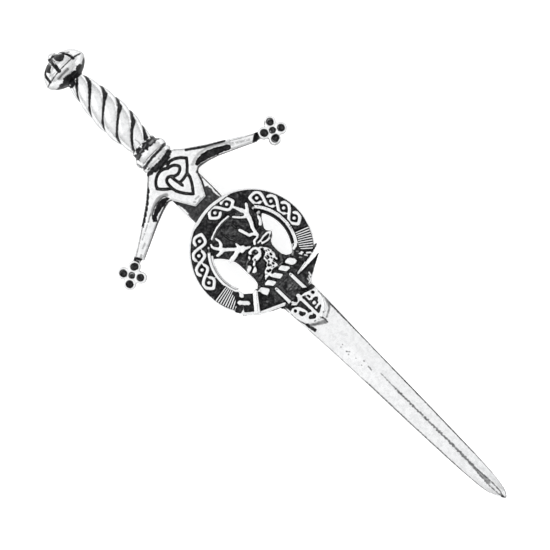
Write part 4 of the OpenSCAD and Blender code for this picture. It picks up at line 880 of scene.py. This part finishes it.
def workBadge(wax):
    x, y, z = wax["co"].T
    mx, my = badge["middle"]
    dx, dy = x - mx, y - my
    far = np.hypot(dx, dy)
    angle = np.degrees(np.arctan2(dy, dx)) % 360
    if wax["cutting"]:
        # the metal beside the buckle is drawn into the left window
        drawn = badge["drawn"] * ramp(angle, 203, 212) * (1 - ramp(angle, 227, 233))
        drawn = drawn * ramp(far, 6.1, 6.5) * (1 - ramp(far, 7.0, 7.6))
        wax["co"][:, 0] -= drawn * dx / far.clip(0.1)
        wax["co"][:, 1] -= drawn * dy / far.clip(0.1)
        sighted(wax)
    on = (y > -1.6) & (far > 7.3) & (far < 11.2)
    right = (angle > ring["right"][0]) | (angle < ring["right"][1])
    left = (angle > ring["left"][0]) & (angle < ring["left"][1])
    ledge = left & (far > ring["ledgeIn"]) & (far < ring["ledgeOut"]) & (z > badge["face"])
    workRing = cutRing if wax["cutting"] else toneRing
    workRing(wax, far, angle, on, right, ledge)
    workGathers(wax, far, angle)
    fine = {"shift": badge["shift"], "soft": 0.08}
    areas(wax, lowerAreas, **fine)
    strokes(wax, lowerStrokes, **fine)
    areas(wax, wreathAreas, **fine, to=badge["relief"], grow=0.05)
    areas(wax, stagAreas, **fine, to=badge["relief"] - 0.05, grow=0.03)
    areas(wax, chapeAreas, **fine, low=7.9)
    areas(wax, chapePockets, **fine, low=7.9, to=8.75)
    strokes(wax, chapeStrokes, **fine, low=7.9)
    strokes(wax, stagStrokes, **fine, domed=badge["relief"], low=8.3)
    strokes(wax, stagCuts, **fine)
    holes(wax, stagHoles, **fine, depth=0.4)


# Pin on the back
pinLook = {"voxel": 0.15, "soften": 2}


def makePin():
    ob = castCopy("brooch_pin", "brooch_pin_cast", pinLook["voxel"], pinLook["soften"])
    finished(ob, "brooch_pin", plainSteel("drawn_steel", steelLook))


# Studio: how bright the sky is at the top, at the sides and in a belt near the horizon, the soft box's power, size
# and place in metres, and the floor's half width, shade and glow
studio = {
    "skyTop": 1.15, "skySide": 0.9, "belt": 0.6, "boxPower": 2.2, "boxSize": 1.6, "boxPlace": (-0.6, 0.7, 1.1),
    "floorHalf": 1.5, "floor": 0.95, "glow": 0.35,
}


def makeCamera():
    camera = bpy.data.cameras.new("camera")
    camera.sensor_width = 36
    camera.lens = camera.sensor_width * view["distance"] / view["frameWide"]
    camera.clip_start = 0.01
    camera.clip_end = 10
    ob = link(bpy.data.objects.new("camera", camera))
    ob.location = (view["lookAt"][0] * mm, view["lookAt"][1] * mm, (view["distance"] + view["plane"]) * mm)
    ob.rotation_euler = (0, 0, math.radians(view["turn"]))
    bpy.context.scene.camera = ob


def makeSky():
    world = bpy.data.worlds.new("sky")
    world.use_nodes = True
    tree = world.node_tree
    where = tree.nodes.new("ShaderNodeTexCoord")
    split = tree.nodes.new("ShaderNodeSeparateXYZ")
    tree.links.new(where.outputs["Generated"], split.inputs[0])
    high = rangeNode(tree, split.outputs["Z"], 0.35, 0.8, studio["skySide"], studio["skyTop"])
    # a greyer belt near the horizon draws the edges of the metal
    belt = rangeNode(tree, split.outputs["Z"], 0.0, 0.35, studio["belt"], 1.0)
    background = tree.nodes["Background"]
    tree.links.new(mathNode(tree, "MULTIPLY", high, belt), background.inputs["Strength"])
    background.inputs["Color"].default_value = (1, 1, 1, 1)
    bpy.context.scene.world = world


def makeSoftBox():
    light = bpy.data.lights.new("softbox", "AREA")
    light.shape = "DISK"
    light.size = studio["boxSize"]
    light.energy = studio["boxPower"]
    box = link(bpy.data.objects.new("softbox", light))
    box.location = studio["boxPlace"]
    box.rotation_euler = Vector(box.location).to_track_quat("Z", "Y").to_euler()


def makeFloor():
    bm = bmesh.new()
    bmesh.ops.create_grid(bm, x_segments=1, y_segments=1, size=studio["floorHalf"])
    mesh = bpy.data.meshes.new("floor")
    bm.to_mesh(mesh)
    bm.free()
    floor = link(bpy.data.objects.new("floor", mesh))
    material, _, shader = newMaterial("paper")
    shader.inputs["Base Color"].default_value = (studio["floor"],) * 3 + (1,)
    shader.inputs["Roughness"].default_value = 0.8
    shader.inputs["Emission Color"].default_value = (1, 1, 1, 1)
    shader.inputs["Emission Strength"].default_value = studio["glow"]
    mesh.materials.append(material)


makeCamera()
makeSky()
makeSoftBox()
makeFloor()
bpy.context.scene.view_settings.view_transform = "Standard"
print("studio stands")
made("sword", "sword_cast", swordLook, workSword, antiquePewter("antique_pewter_sword", pewterLook))
print("sword is cast")
badgePewter = antiquePewter("antique_pewter_badge", pewterLook)
made("crest_badge", "crest_badge_cast", badgeLook, workBadge, badgePewter)
print("badge is cast")
makePin()
print("pin is set")
